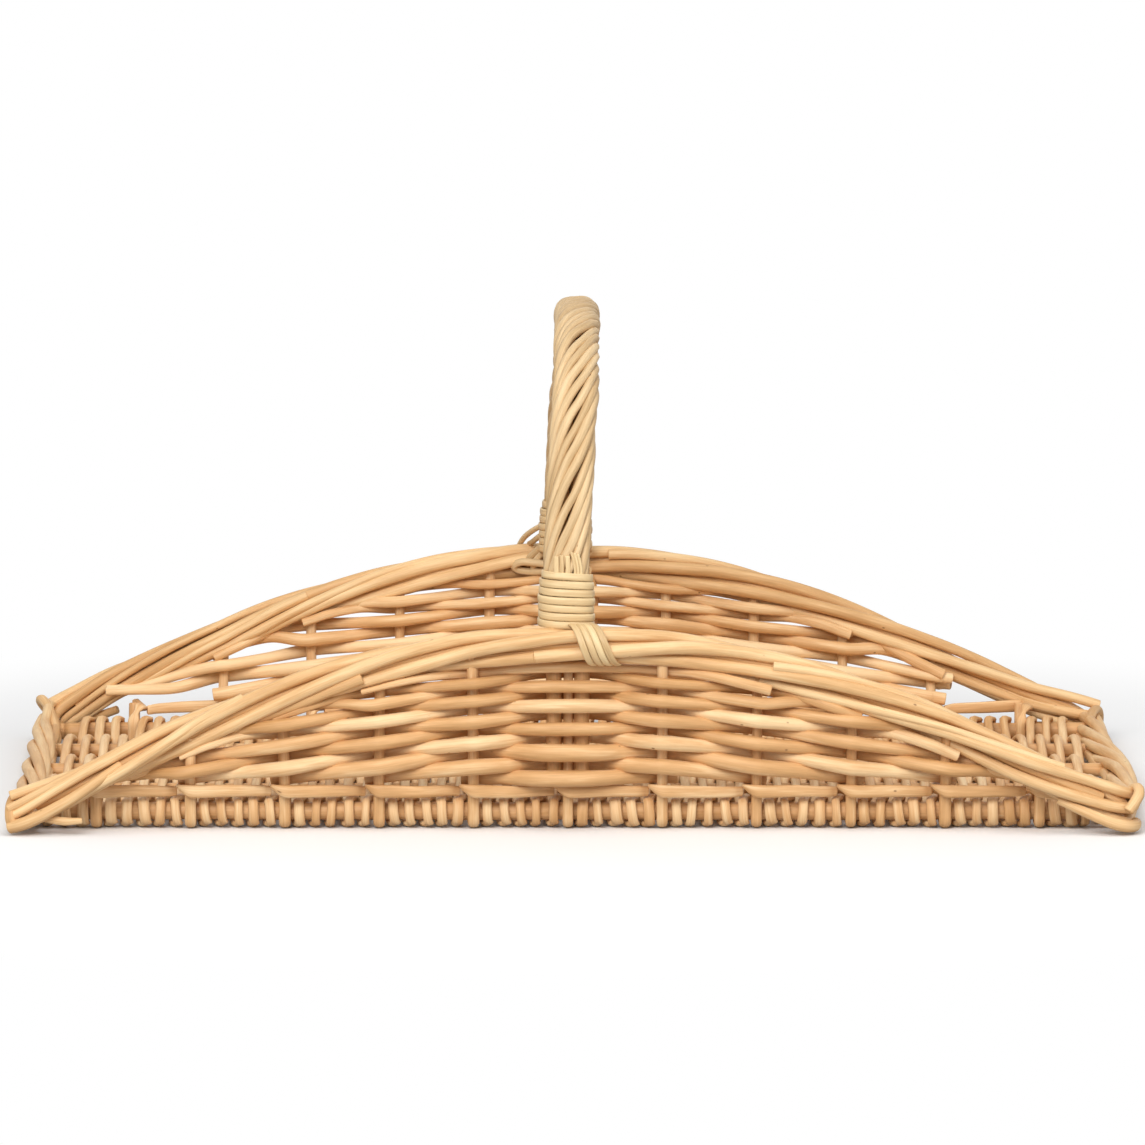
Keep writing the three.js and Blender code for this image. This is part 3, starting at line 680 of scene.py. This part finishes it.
# First and last stake of each row, from the foot of the wall up
ROW_SPANS = [(-1, 1), (-2, 2), (-3, 3), (-4, 4), (-4, 4), (-4, 4), (-3, 3), (-3, 3), (-2, 2), (-2, 2),
             (-1, 1)]
ROWS = len(ROW_SPANS)
# The short rows at the foot lie one over the other with their ends tucked in behind the stakes
TUCKED_ROWS = 4
# The lowest rows, which the solids have as one packing rod
PACKED_ROWS = 5


def row_weight(row):
    """Share of the wall's height that a row takes: the rods get thinner upwards."""
    return blend(1.2, 0.74, row / (ROWS - 1))


def row_at(row, k):
    """Height of a row at a stake, and its share of the wall's height there."""
    total = 0
    below = 0
    for other, span in enumerate(ROW_SPANS):
        if span[0] <= k <= span[1]:
            total += row_weight(other)
            below += row_weight(other) if other < row else 0
    low = WALL_FOOT + 2 * CLEARANCE
    height = wall_top(k) - 2 * CLEARANCE - low
    thickness = height * row_weight(row) / total
    return low + height * below / total + thickness / 2, thickness


def row_radius(row, k, middle, grade):
    """A rod keeps about one thickness, so only two fifths of what the height at a stake asks for is taken."""
    return 0.6 * blend(middle, row_at(row, k)[1], 0.4) * grade


def row_line(row, start_length, end_length):
    """Points of a row in and out of the stakes, with its radius."""
    start, end = ROW_SPANS[row]
    stakes = range(start, end + 1)
    grade = chance.uniform(0.98, 1.12)
    middle = sum(row_at(row, k)[1] for k in stakes) / len(stakes)
    levels = {k: row_at(row, k)[0] + chance.uniform(-0.5, 0.5) for k in stakes}
    line = []
    for k in stakes:
        low = max(k - 1, start)
        high = min(k + 1, end)
        slope = (levels[high] - levels[low]) / (stake_x(high) - stake_x(low))
        radius = row_radius(row, k, middle, grade) * chance.uniform(1.0, 1.08)
        side = 1 if (row + k) % 2 == 0 else -1
        depth = BOW_ROD_RADIUS if k == 0 else STAKE_RADIUS
        reach = stake_reach(k, levels[k]) + side * (depth + radius)
        half = 12 if k == 0 else 4
        before = start_length if k == start else half
        after = end_length if k == end else half
        if k > start:
            x, y, z, other = line[-1]
            here = stake_x(k) - before
            between = (stake_reach(k - 1, levels[k - 1]) + stake_reach(k, levels[k])) / 2
            level = (z + levels[k] - slope * before) / 2
            line.append(((x + here) / 2, -between, level, 0.46 * (other + radius)))
        line.append((stake_x(k) - before, -reach, levels[k] - slope * before, radius))
        line.append((stake_x(k) + after, -reach, levels[k] + slope * after, radius))
    return line


def border_under(x):
    """Level of the border's underside."""
    return border_top(x) - BORDER_RADIUS * (1 + math.hypot(1, border_slope(x)))


RUN_OUT_SHARES = (0.4, 0.72, 1.0)


def run_out(row, k, near, edge, length, end_radius, drop=0):
    """Points of a row past its last stake, k: it goes on as it came, from near to edge, closes up to drop
    below the border, and crosses to the side that the weave asks for."""
    line = []
    step = 1 if edge[0] > near[0] else -1
    slope = (edge[2] - near[2]) / (edge[0] - near[0])
    side = 1 if (row + k + step) % 2 == 0 else -1
    for share in RUN_OUT_SHARES:
        past = length * share
        x = stake_x(k) + step * past
        thin = blend(edge[3], end_radius, share)
        under = border_under(x) - 0.3 * thin - drop
        level = blend(edge[2] + slope * (x - edge[0]), under, smooth(0, 45, past))
        level = max(level, WALL_FOOT + 1.5 + thin)
        across = side * blend(-1, 1, smooth(4, 38, past))
        line.append((x, -(stake_reach(k, level) + across * (STAKE_RADIUS + thin)), level, thin))
    return line


# No row runs out past these places along the wall
LOWEST_TIP_X = -228
HIGHEST_TIP_X = 249


def wall_rods(at_back):
    """Rods of a wall. The front wall's rows run out long, as thin tips at one end and as butts at the other.
    The back wall's low rows are cut off soon after their last stake at one end, and run out together at the
    other."""
    rods = []
    for row, (start, end) in enumerate(ROW_SPANS):
        if row < TUCKED_ROWS:
            rods.append(row_line(row, chance.uniform(5, 8), chance.uniform(5, 8)))
            continue
        line = row_line(row, 5, 5)
        low_length = chance.uniform(49, 56)
        high_length = chance.uniform(49, 56)
        drop = 0
        if at_back and row <= PACKED_ROWS:
            low_length = chance.uniform(8, 17)
            high_length = 62
            drop = 4.5 if row < PACKED_ROWS else 0
        low_length = min(low_length, stake_x(start) - LOWEST_TIP_X)
        high_length = min(high_length, HIGHEST_TIP_X - stake_x(end))
        low_radius = line[0][3] * 0.9 if at_back else 1.3
        high_radius = 2.2 if at_back else 2.8
        low_line = run_out(row, start, line[1], line[0], low_length, low_radius)
        high_line = run_out(row, end, line[-2], line[-1], high_length, high_radius, drop)
        rods.append(low_line[::-1] + line + high_line)
    return rods


for place in ("front", "back"):
    rods = []
    for line in wall_rods(place == "back"):
        points = [point[:3] for point in line]
        if place == "back":
            points = turned(raised(points, 3.0))
        # The back wall's rods take a paler tone than the front wall's: painted light, which makes up for the
        # shade on the inner face of the back wall.
        tone = 0.64 if place == "back" else 0.5
        rods.append(rod(points, [point[3] for point in line], 1.0, (0, 0, 1), tone, 0.5))
    names = [f"wall_packing_{place}"]
    names += [f"wall_row_{row + 1}_{place}" for row in range(PACKED_ROWS, ROWS)]
    make_rods(f"{place}_wall_weave", rods, wall_willow, names, sides=12, steps=6, swelling=0.14)


# Border

WALL_START = -HALF_LENGTH - 1
CORNER_START_X = BORDER_END_X - BORDER_CORNER_RADIUS
CORNER_LENGTH = math.pi / 2 * BORDER_CORNER_RADIUS
WALL_LENGTH = CORNER_START_X - WALL_START
CORNER_CENTRE_REACH = BORDER_OUTER_REACH - BORDER_CORNER_RADIUS
END_RUN = CORNER_CENTRE_REACH + BORDER_OUTER_REACH
END_START = WALL_LENGTH + CORNER_LENGTH
BORDER_LENGTH = END_START + END_RUN
END_LEVEL = BORDER_RADIUS + CLEARANCE
# Short rods in the valleys of the rope: where each starts and ends along the border, and the angle in degrees
# at which its butt lies round the rope. Past the middle of the wall the butt comes first.
BORDER_FILLS = {
    "front": [(3, 176, -25), (1, 262, -52), (2, 120, 60), (380, 560, 15), (420, 545, 130), (360, 520, -110)],
    "back": [(20, 262, 140), (42, 190, 35), (3, 120, -60), (380, 560, 15), (420, 545, 130), (300, 525, -70)],
}
FIRST_HALF = 300
# How far the ends stand out past straight ones: at the back corners, and in the front half of the right end
BACK_CORNER_OUT = {"left": 5, "right": 1.5}
RIGHT_END_OUT = 3
RIGHT_END_BOW = 3.5


def border_centre(distance):
    """Point on the middle line of the border, a distance along it from its start."""
    if distance <= WALL_LENGTH:
        x = WALL_START + distance
        return Vector((x, -border_reach(x), border_top(x) - BORDER_RADIUS))
    past = distance - WALL_LENGTH
    if past <= CORNER_LENGTH:
        angle = past / BORDER_CORNER_RADIUS
        x = CORNER_START_X + BORDER_CORNER_RADIUS * math.sin(angle)
        reach = CORNER_CENTRE_REACH + BORDER_CORNER_RADIUS * math.cos(angle)
        return Vector((x, -reach, border_top(x) - BORDER_RADIUS))
    fall = smooth(CORNER_LENGTH, CORNER_LENGTH + 30, past)
    z = blend(border_top(BORDER_END_X) - BORDER_RADIUS, END_LEVEL, fall)
    return Vector((BORDER_END_X, -(CORNER_CENTRE_REACH - (past - CORNER_LENGTH)), z))


def stacking(distance):
    """At its start and at its corner the border's rods lie one over the other, not as a round rope."""
    at_corner = smooth(WALL_LENGTH - 40, WALL_LENGTH, distance)
    at_corner *= 1 - smooth(END_START, END_START + 35, distance)
    return max(1 - smooth(5, 55, distance), at_corner)


def border_point(distance, angle, spread, radius):
    """Middle of a rod that lies at an angle round the border and spread away from its middle line. A rod of
    that radius is kept off the ground."""
    centre = border_centre(distance)
    ahead = border_centre(min(distance + 1, BORDER_LENGTH))
    behind = border_centre(max(distance - 1, 0))
    along = (ahead - behind).normalized()
    outward = along.cross(Vector((0, 0, 1))).normalized()
    above = outward.cross(along)
    out = spread * blend(1, 0.45, stacking(distance)) * math.cos(angle)
    rise = spread * blend(1, 1.2, stacking(distance)) * math.sin(angle)
    point = centre + outward * out + above * rise
    point.z = max(point.z, radius + GROUND_GAP)
    return point


def border_rod_radius(distance):
    """A border rod is stoutest over the middle of the wall."""
    return blend(2.7, 3.3, smooth(30, 190, distance)) - 0.45 * smooth(330, 500, distance)


def long_border_rods():
    """Four long rods laid as a rope, and a fifth that joins them along the end."""
    rods = []
    stops = 120
    for i in range(BORDER_RODS + 1):
        points = []
        radii = []
        first = 2 + 2 * i if i < BORDER_RODS else END_START + 32
        for step in range(stops + 1):
            distance = blend(first, BORDER_LENGTH - i, step / stops)
            on_end = smooth(END_START, END_START + 36, distance)
            radius = border_rod_radius(distance)
            turns = i * blend(1 / BORDER_RODS, 1 / (BORDER_RODS + 1), on_end) + distance / BORDER_LAY
            angle = 2 * math.pi * turns + 0.1 * math.sin(distance / 47 + 2.1 * i)
            angle -= 0.3 * max(0.0, 1 - distance / 75) ** 2
            spread = BORDER_RADIUS - radius - 0.2 + 0.3 * math.sin(distance / 41 + 1.3 * i)
            points.append(border_point(distance, angle, blend(spread, 1.75 * radius, on_end), radius))
            radii.append(radius)
        rods.append(rod(points, radii, tone=0.55, spread=0.4))
    return rods


def inner_border_rods():
    """A core that the rope lies round along the wall, and a straight rod inside the end's rope."""
    core = [border_centre(blend(14, WALL_LENGTH - 6, step / 30)) for step in range(31)]
    straight = []
    radius = 2.6
    for step in range(13):
        distance = blend(END_START + 14, BORDER_LENGTH - 4, step / 12)
        angle = math.radians(205) + 0.1 * math.sin(distance / 31)
        straight.append(border_point(distance, angle, 6.6, radius))
    return [rod(core, 3.3, tone=0.4), rod(straight, radius, tone=0.4)]


def border_fill(first, last, degrees):
    """A short rod in a valley of the rope, stoutest at its butt."""
    butt_first = first > FIRST_HALF
    butt = first if butt_first else last
    points = []
    radii = []
    stops = 26
    for step in range(stops + 1):
        distance = blend(first, last, step / stops)
        radius = blend(2.5, 1.7, step / stops) if butt_first else blend(2.0, 2.9, step / stops)
        angle = math.radians(degrees) + 2 * math.pi * (distance - butt) / BORDER_LAY
        points.append(border_point(distance, angle, BORDER_RADIUS - radius + 0.5, radius))
        radii.append(radius)
    return rod(points, radii, tone=0.5, spread=0.5)


def border_rods(place):
    rods = long_border_rods() + inner_border_rods()
    rods += [border_fill(*fill) for fill in BORDER_FILLS[place]]
    if place == "back":
        for one in rods:
            for point in one["points"]:
                point.z += back_lift(point.x)
    return rods


def spread_out(rods):
    """The ends aren't quite straight: the back corners stand a few millimetres further out, most on the left,
    and the front half of the right end bows out."""
    for one in rods:
        for point in one["points"]:
            out = BACK_CORNER_OUT["left" if point.x < 0 else "right"] * smooth(-150, 165, point.y)
            if point.x > 0:
                out += RIGHT_END_OUT * (1 - smooth(-20, 90, point.y))
                out += RIGHT_END_BOW * math.exp(-((point.y + 30) / 65) ** 2)
            point.x += math.copysign(out * smooth(215, 270, abs(point.x)), point.x)


def corner_folds():
    """Ends of the end's rope that fold over the border's start and over its corner, a stout rod that starts
    low at the start and one that goes round the foot of the corner, and the cut end of one more rod."""
    over = [(-272.5, -140, 15), (-275, -152, 17.6), (-277.5, -161, 17.6), (-279, -167, 14), (-279, -170.5, 9),
            (-278, -171, 4.5)]
    low = [(-279.5, -170.5, 4), (-272, -173.5, 6.5), (-262, -174.3, 11), (-248, -174, 19), (-236, -173.5, 27),
           (-224, -168, 35)]
    fold = [(268.5, -128, 12), (271, -142, 16), (274, -154, 20.5), (277.5, -162, 23), (278, -168, 20.5),
            (275.5, -171.5, 16.5), (272.5, -173, 12.5)]
    heel = [(240, -165, 17), (250, -169, 12.5), (260, -171.5, 8.2), (267, -172.3, 5.8), (272.5, -171, 4.8),
            (276, -166.5, 4.4), (277, -158, 4.4)]
    butt = [(-270, -167, 11), (-262, -169.5, 8.6), (-252, -172.5, 7.4), (-243, -173.5, 7.8)]
    return [rod(over, 2.6, 0.85, (1, 0, 0), tone=0.5),
            rod(low, [3.2, 3.1, 3, 2.8, 2.6, 2.4], tone=0.55),
            rod(heel, [2.2, 2.5, 2.8, 3.1, 3.2, 3.1, 3], tone=0.45),
            rod(fold, [2.5, 2.5, 2.6, 2.7, 2.8, 2.9, 3], 0.85, (1, 0, 0), tone=0.5),
            rod(butt, [1.8, 2, 2.1, 1.5], 0.75, tone=0.5)]


for place in ("front", "back"):
    rods = border_rods(place) + corner_folds()
    if place == "back":
        turn_round(rods)
    spread_out(rods)
    names = [f"border_rod_{i + 1}_{place}" for i in range(BORDER_RODS)]
    make_rods(f"{place}_border", rods, border_willow, names, sides=12, steps=3, swelling=0.12)


# Handle

def bow_line():
    """Points of the bow from its front spring to its back one, with the distance to each."""
    points = []
    for i in range(241):
        angle = math.pi * i / 240
        across = -math.copysign(abs(math.cos(angle)) ** (2 / BOW_SQUARENESS), math.cos(angle))
        rise = abs(math.sin(angle)) ** (2 / BOW_SQUARENESS)
        lean = BOW_LEAN - BOW_FOOT_SWAY["front" if across < 0 else "back"] * across ** 6
        points.append(Vector((lean, across * WALL_REACH, BOW_SPRING + BOW_HEIGHT * rise)))
    distances = [0.0]
    for i in range(1, len(points)):
        distances.append(distances[-1] + (points[i] - points[i - 1]).length)
    return points, distances


BOW_POINTS, BOW_DISTANCES = bow_line()
BOW_LENGTH = BOW_DISTANCES[-1]


def bow_point(distance):
    """Point at a distance along the bow."""
    distance = min(BOW_LENGTH, max(0.0, distance))
    place = 1
    while place < len(BOW_POINTS) - 1 and BOW_DISTANCES[place] < distance:
        place += 1
    share = (distance - BOW_DISTANCES[place - 1]) / (BOW_DISTANCES[place] - BOW_DISTANCES[place - 1])
    return BOW_POINTS[place - 1].lerp(BOW_POINTS[place], share)


def bow_frame(distance):
    """Point on the bow with its directions along it, across it and out of it."""
    along = (bow_point(distance + 4) - bow_point(distance - 4)).normalized()
    wide = Vector((1, 0, 0))
    wide = (wide - along * along.x).normalized()
    return bow_point(distance), along, wide, along.cross(wide)


def bow_rods():
    """Two rods side by side along the bow, which go down as legs on each side of the middle stakes."""
    rods = []
    spread = STAKE_RADIUS + CLEARANCE + BOW_ROD_RADIUS
    leg_levels = (LEG_BOTTOM, 60, 84)
    stops = 24
    for side in (-1, 1):
        points = [(-STAKE_SHIFT + side * spread, -WALL_REACH, level) for level in leg_levels]
        for step in range(stops + 1):
            points.append(bow_point(BOW_LENGTH * step / stops) + Vector((side * 4.0, 0, 0)))
        points += [(STAKE_SHIFT + side * spread, WALL_REACH, level) for level in leg_levels[::-1]]
        rods.append(rod(points, BOW_ROD_RADIUS, tone=0.35))
    return rods


def round_bow(distance, angle, outwards):
    """Point at a distance along the bow and an angle round its flattened section."""
    middle, along, wide, thick = bow_frame(distance)
    across = math.copysign(abs(math.cos(angle)) ** 0.85, math.cos(angle))
    above = math.copysign(abs(math.sin(angle)) ** 0.85, math.sin(angle))
    return middle + wide * outwards * across + thick * outwards * BOW_FLATNESS * above


def roping_rods():
    """Thin rods wound round the bow in three groups, with a dark slit between groups."""
    rods = []
    stops = 60
    for i in range(ROPING_GROUPS * RODS_IN_GROUP):
        group = i // RODS_IN_GROUP
        start_angle = math.radians(360 / ROPING_GROUPS * group + ROPING_ROD_ANGLE * (i % RODS_IN_GROUP))
        points = []
        radii = []
        for step in range(stops + 1):
            distance = blend(ROPING_START, BOW_LENGTH - ROPING_START, step / stops)
            wander = 0.06 * math.sin(distance / 33 + 1.9 * group) + 0.045 * math.sin(distance / 19 + 2.3 * i)
            angle = start_angle + 2 * math.pi * distance / ROPING_LAY + wander
            outwards = BOW_OUTER - ROPING_ROD_RADIUS + 0.3 * math.sin(distance / 23 + 1.7 * i)
            points.append(round_bow(distance, angle, outwards))
            radii.append(ROPING_ROD_RADIUS * (1.0 + 0.1 * math.sin(distance / 37 + 2.3 * i)))
        rods.append(rod(points, radii, tone=0.5, spread=0.35))
    return rods


make_rods("bow", bow_rods(), wall_willow, ["bow_rod_left", "bow_rod_right"], sides=12, steps=5, swelling=0.06)
make_rods("handle_roping", roping_rods(), roping_willow,
          [f"handle_roping_{i + 1}" for i in range(ROPING_GROUPS)], sides=8, steps=3, swelling=0.12)


# Whipping and lashing

def whipping_rods(at_back):
    """Split skein wound round a foot of the handle, and cut ends of skein that stand up out of it."""
    points = []
    broads = []
    pitch = 2 * SKEIN_HALF_WIDTH
    stops = 20
    for step in range(WHIPPING_TURNS * stops + 1):
        turns = step / stops
        distance = WHIPPING_START + SKEIN_HALF_WIDTH + pitch * turns
        angle = -2 * math.pi * turns
        outwards = BOW_OUTER + 1.9 + 0.3 * math.sin(turns * 2.4) - 1.6 * smooth(4.6, 6.6, turns)
        if at_back:
            distance = BOW_LENGTH - distance
        points.append(round_bow(distance, angle, outwards))
        broads.append(bow_frame(distance)[1])
    rods = [rod(points, SKEIN_HALF_WIDTH, 0.34, broads, tone=0.5, cut=False)]
    top = WHIPPING_START + pitch * (WHIPPING_TURNS + 1)
    for offset, lean, half, height in WHIPPING_STUBS:
        stub = []
        for share in (-1.2, -0.2, 0.5, 1.0):
            distance = top + height * share
            angle = math.radians(270) + math.asin((offset - lean * max(0.0, share)) / BOW_OUTER)
            if at_back:
                distance = BOW_LENGTH - distance
            stub.append(round_bow(distance, angle, BOW_OUTER + 0.4 + 0.3 * share))
        rods.append(rod(stub, half, 0.5, (1, 0, 0), tone=0.6))
    return rods


def lashing_rods():
    """Strands of skein from the foot of the handle down over the border."""
    rods = []
    level = BORDER_MIDDLE_TOP - BORDER_RADIUS
    radius = BORDER_RADIUS + 0.8
    stops = 9
    for strand in range(LASHING_STRANDS):
        points = []
        for step in range(stops + 1):
            angle = math.radians(96 - 176 * step / stops)
            x = -STAKE_SHIFT + (strand + 0.5) * LASHING_PITCH + (LASHING_DRIFT + 0.5 * strand) * step / stops
            reach = BORDER_OUTER_REACH + radius * math.cos(angle)
            points.append((x, -reach, level + radius * math.sin(angle)))
        rods.append(rod(points, LASHING_HALF_WIDTH, 0.36, (1, 0, 0), tone=0.62, cut=False))
    return rods


def foot_loops():
    """Ends of the roping that leave the back foot on its left, lie over the border and fold in under it."""
    lines = [
        [(-9, 151, 119), (-14, 153, 118), (-20, 157, 114.5), (-25, 164, 110), (-28, 171, 105),
         (-30, 177, 97)],
        [(-9, 151, 115), (-14, 153, 113.5), (-18, 156, 110.5), (-21, 161, 107.5), (-23, 167, 105.5)],
        [(-8, 149, 113), (-14, 152, 109), (-18, 155, 104), (-22.5, 157, 99.5), (-24, 159, 95)],
        [(-8, 149, 108.5), (-13, 152, 105), (-17, 154.5, 101), (-20, 156, 97), (-21, 158, 93)],
        [(-9, 150, 96), (-20, 153.5, 97), (-27, 155, 97.2), (-30.8, 157, 95), (-29, 158.5, 92.6),
         (-23, 158, 91.8), (-14, 155, 92.2)],
    ]
    radii = (1.5, 1.5, 1.9, 1.9, 2.1)
    return [rod(line, radius, tone=0.45) for line, radius in zip(lines, radii)]


make_rods("back_foot_loops", foot_loops(), roping_willow, ["handle_roping_1"], sides=10, steps=6)

for place in ("front", "back"):
    whipping = whipping_rods(place == "back")
    lashing = lashing_rods()
    if place == "back":
        turn_round(lashing)
    for name, rods, steps in (("whipping", whipping, 2), ("lashing", lashing, 5)):
        make_rods(f"{place}_{name}", rods, split_skein, [f"{name}_{place}"], sides=10, steps=steps,
                  swelling=0.1)


# Studio

# Places and sizes in metres, as Blender's lamps and cameras take them: name, place, aim, size and watts
LAMPS = [
    ("key", (-0.8, -2.7, 1.8), (0, 0, 0.08), 1.8, 74),
    ("fill", (1.8, -1.8, 1.4), (0, 0, 0.08), 1.8, 18),
    ("top", (0.2, -0.7, 2.4), (0, 0, 0.05), 1.4, 14),
]
CAMERA_PLACE = (0, -4.61, 0.675)
CAMERA_DIP = 6.98
CAMERA_LENS = 284.5
FLOOR_REACH = 6.0
FADE_START = 0.3
FADE_END = 0.6
WORLD_LIGHT = 0.34


def add_floor():
    """A plain floor that takes the shadow near the basket and fades to white further away."""
    mesh = bpy.data.meshes.new("studio_floor")
    corners = [(x * FLOOR_REACH, y * FLOOR_REACH, 0) for x, y in ((-1, -1), (1, -1), (1, 1), (-1, 1))]
    mesh.from_pydata(corners, [], [(0, 1, 2, 3)])
    floor = bpy.data.objects.new("studio_floor", mesh)
    bpy.context.scene.collection.objects.link(floor)
    material = bpy.data.materials.new("pale_floor")
    material.use_nodes = True
    tree = material.node_tree
    shader = tree.nodes["Principled BSDF"]
    ray = add_node(tree, "ShaderNodeLightPath").outputs["Is Camera Ray"]
    links = {0: ray, 6: srgb("c6c6c6"), 7: srgb("fafafa")}
    pale = add_node(tree, "ShaderNodeMix", links, data_type="RGBA").outputs[2]
    tree.links.new(pale, shader.inputs["Base Color"])
    shader.inputs["Roughness"].default_value = 0.9
    spot = add_node(tree, "ShaderNodeTexCoord").outputs["Object"]
    away = add_node(tree, "ShaderNodeVectorMath", {0: spot}, operation="LENGTH").outputs["Value"]
    links = {"Value": away, "From Min": FADE_START, "From Max": FADE_END}
    far = add_node(tree, "ShaderNodeMapRange", links, interpolation_type="SMOOTHSTEP").outputs[0]
    share = add_node(tree, "ShaderNodeMath", {0: far, 1: ray}, operation="MULTIPLY").outputs[0]
    white = add_node(tree, "ShaderNodeEmission", {"Color": (1, 1, 1, 1), "Strength": 1.0}).outputs[0]
    mixed = add_node(tree, "ShaderNodeMixShader", {0: share, 1: shader.outputs[0], 2: white}).outputs[0]
    tree.links.new(mixed, tree.nodes["Material Output"].inputs["Surface"])
    mesh.materials.append(material)


def add_world():
    """White where the camera or a reflection sees it, and a weaker light from all round on the basket."""
    world = bpy.data.worlds.new("studio")
    bpy.context.scene.world = world
    world.use_nodes = True
    tree = world.node_tree
    tree.nodes.clear()
    ray = add_node(tree, "ShaderNodeLightPath").outputs
    seen = ray["Is Camera Ray"]
    for name in ("Is Glossy Ray", "Is Transmission Ray"):
        seen = add_node(tree, "ShaderNodeMath", {0: seen, 1: ray[name]}, operation="MAXIMUM").outputs[0]
    links = {0: seen}
    for place, strength in ((1, WORLD_LIGHT), (2, 1.0)):
        white = {"Color": (1, 1, 1, 1), "Strength": strength}
        links[place] = add_node(tree, "ShaderNodeBackground", white).outputs[0]
    mixed = add_node(tree, "ShaderNodeMixShader", links).outputs[0]
    add_node(tree, "ShaderNodeOutputWorld", {0: mixed})


def add_lamp(name, place, aim, size, watts):
    lamp = bpy.data.lights.new(name, "AREA")
    lamp.shape = "DISK"
    lamp.size = size
    lamp.energy = watts
    holder = bpy.data.objects.new(name, lamp)
    holder.location = place
    holder.rotation_euler = (Vector(aim) - Vector(place)).to_track_quat("-Z", "Y").to_euler()
    bpy.context.scene.collection.objects.link(holder)


def add_camera():
    camera = bpy.data.cameras.new("photograph")
    camera.sensor_width = 36
    camera.lens = CAMERA_LENS
    camera.clip_end = 50
    holder = bpy.data.objects.new("photograph", camera)
    holder.location = CAMERA_PLACE
    holder.rotation_euler = (math.radians(90 - CAMERA_DIP), 0, 0)
    bpy.context.scene.collection.objects.link(holder)
    bpy.context.scene.camera = holder


add_floor()
add_world()
for lamp in LAMPS:
    add_lamp(*lamp)
add_camera()
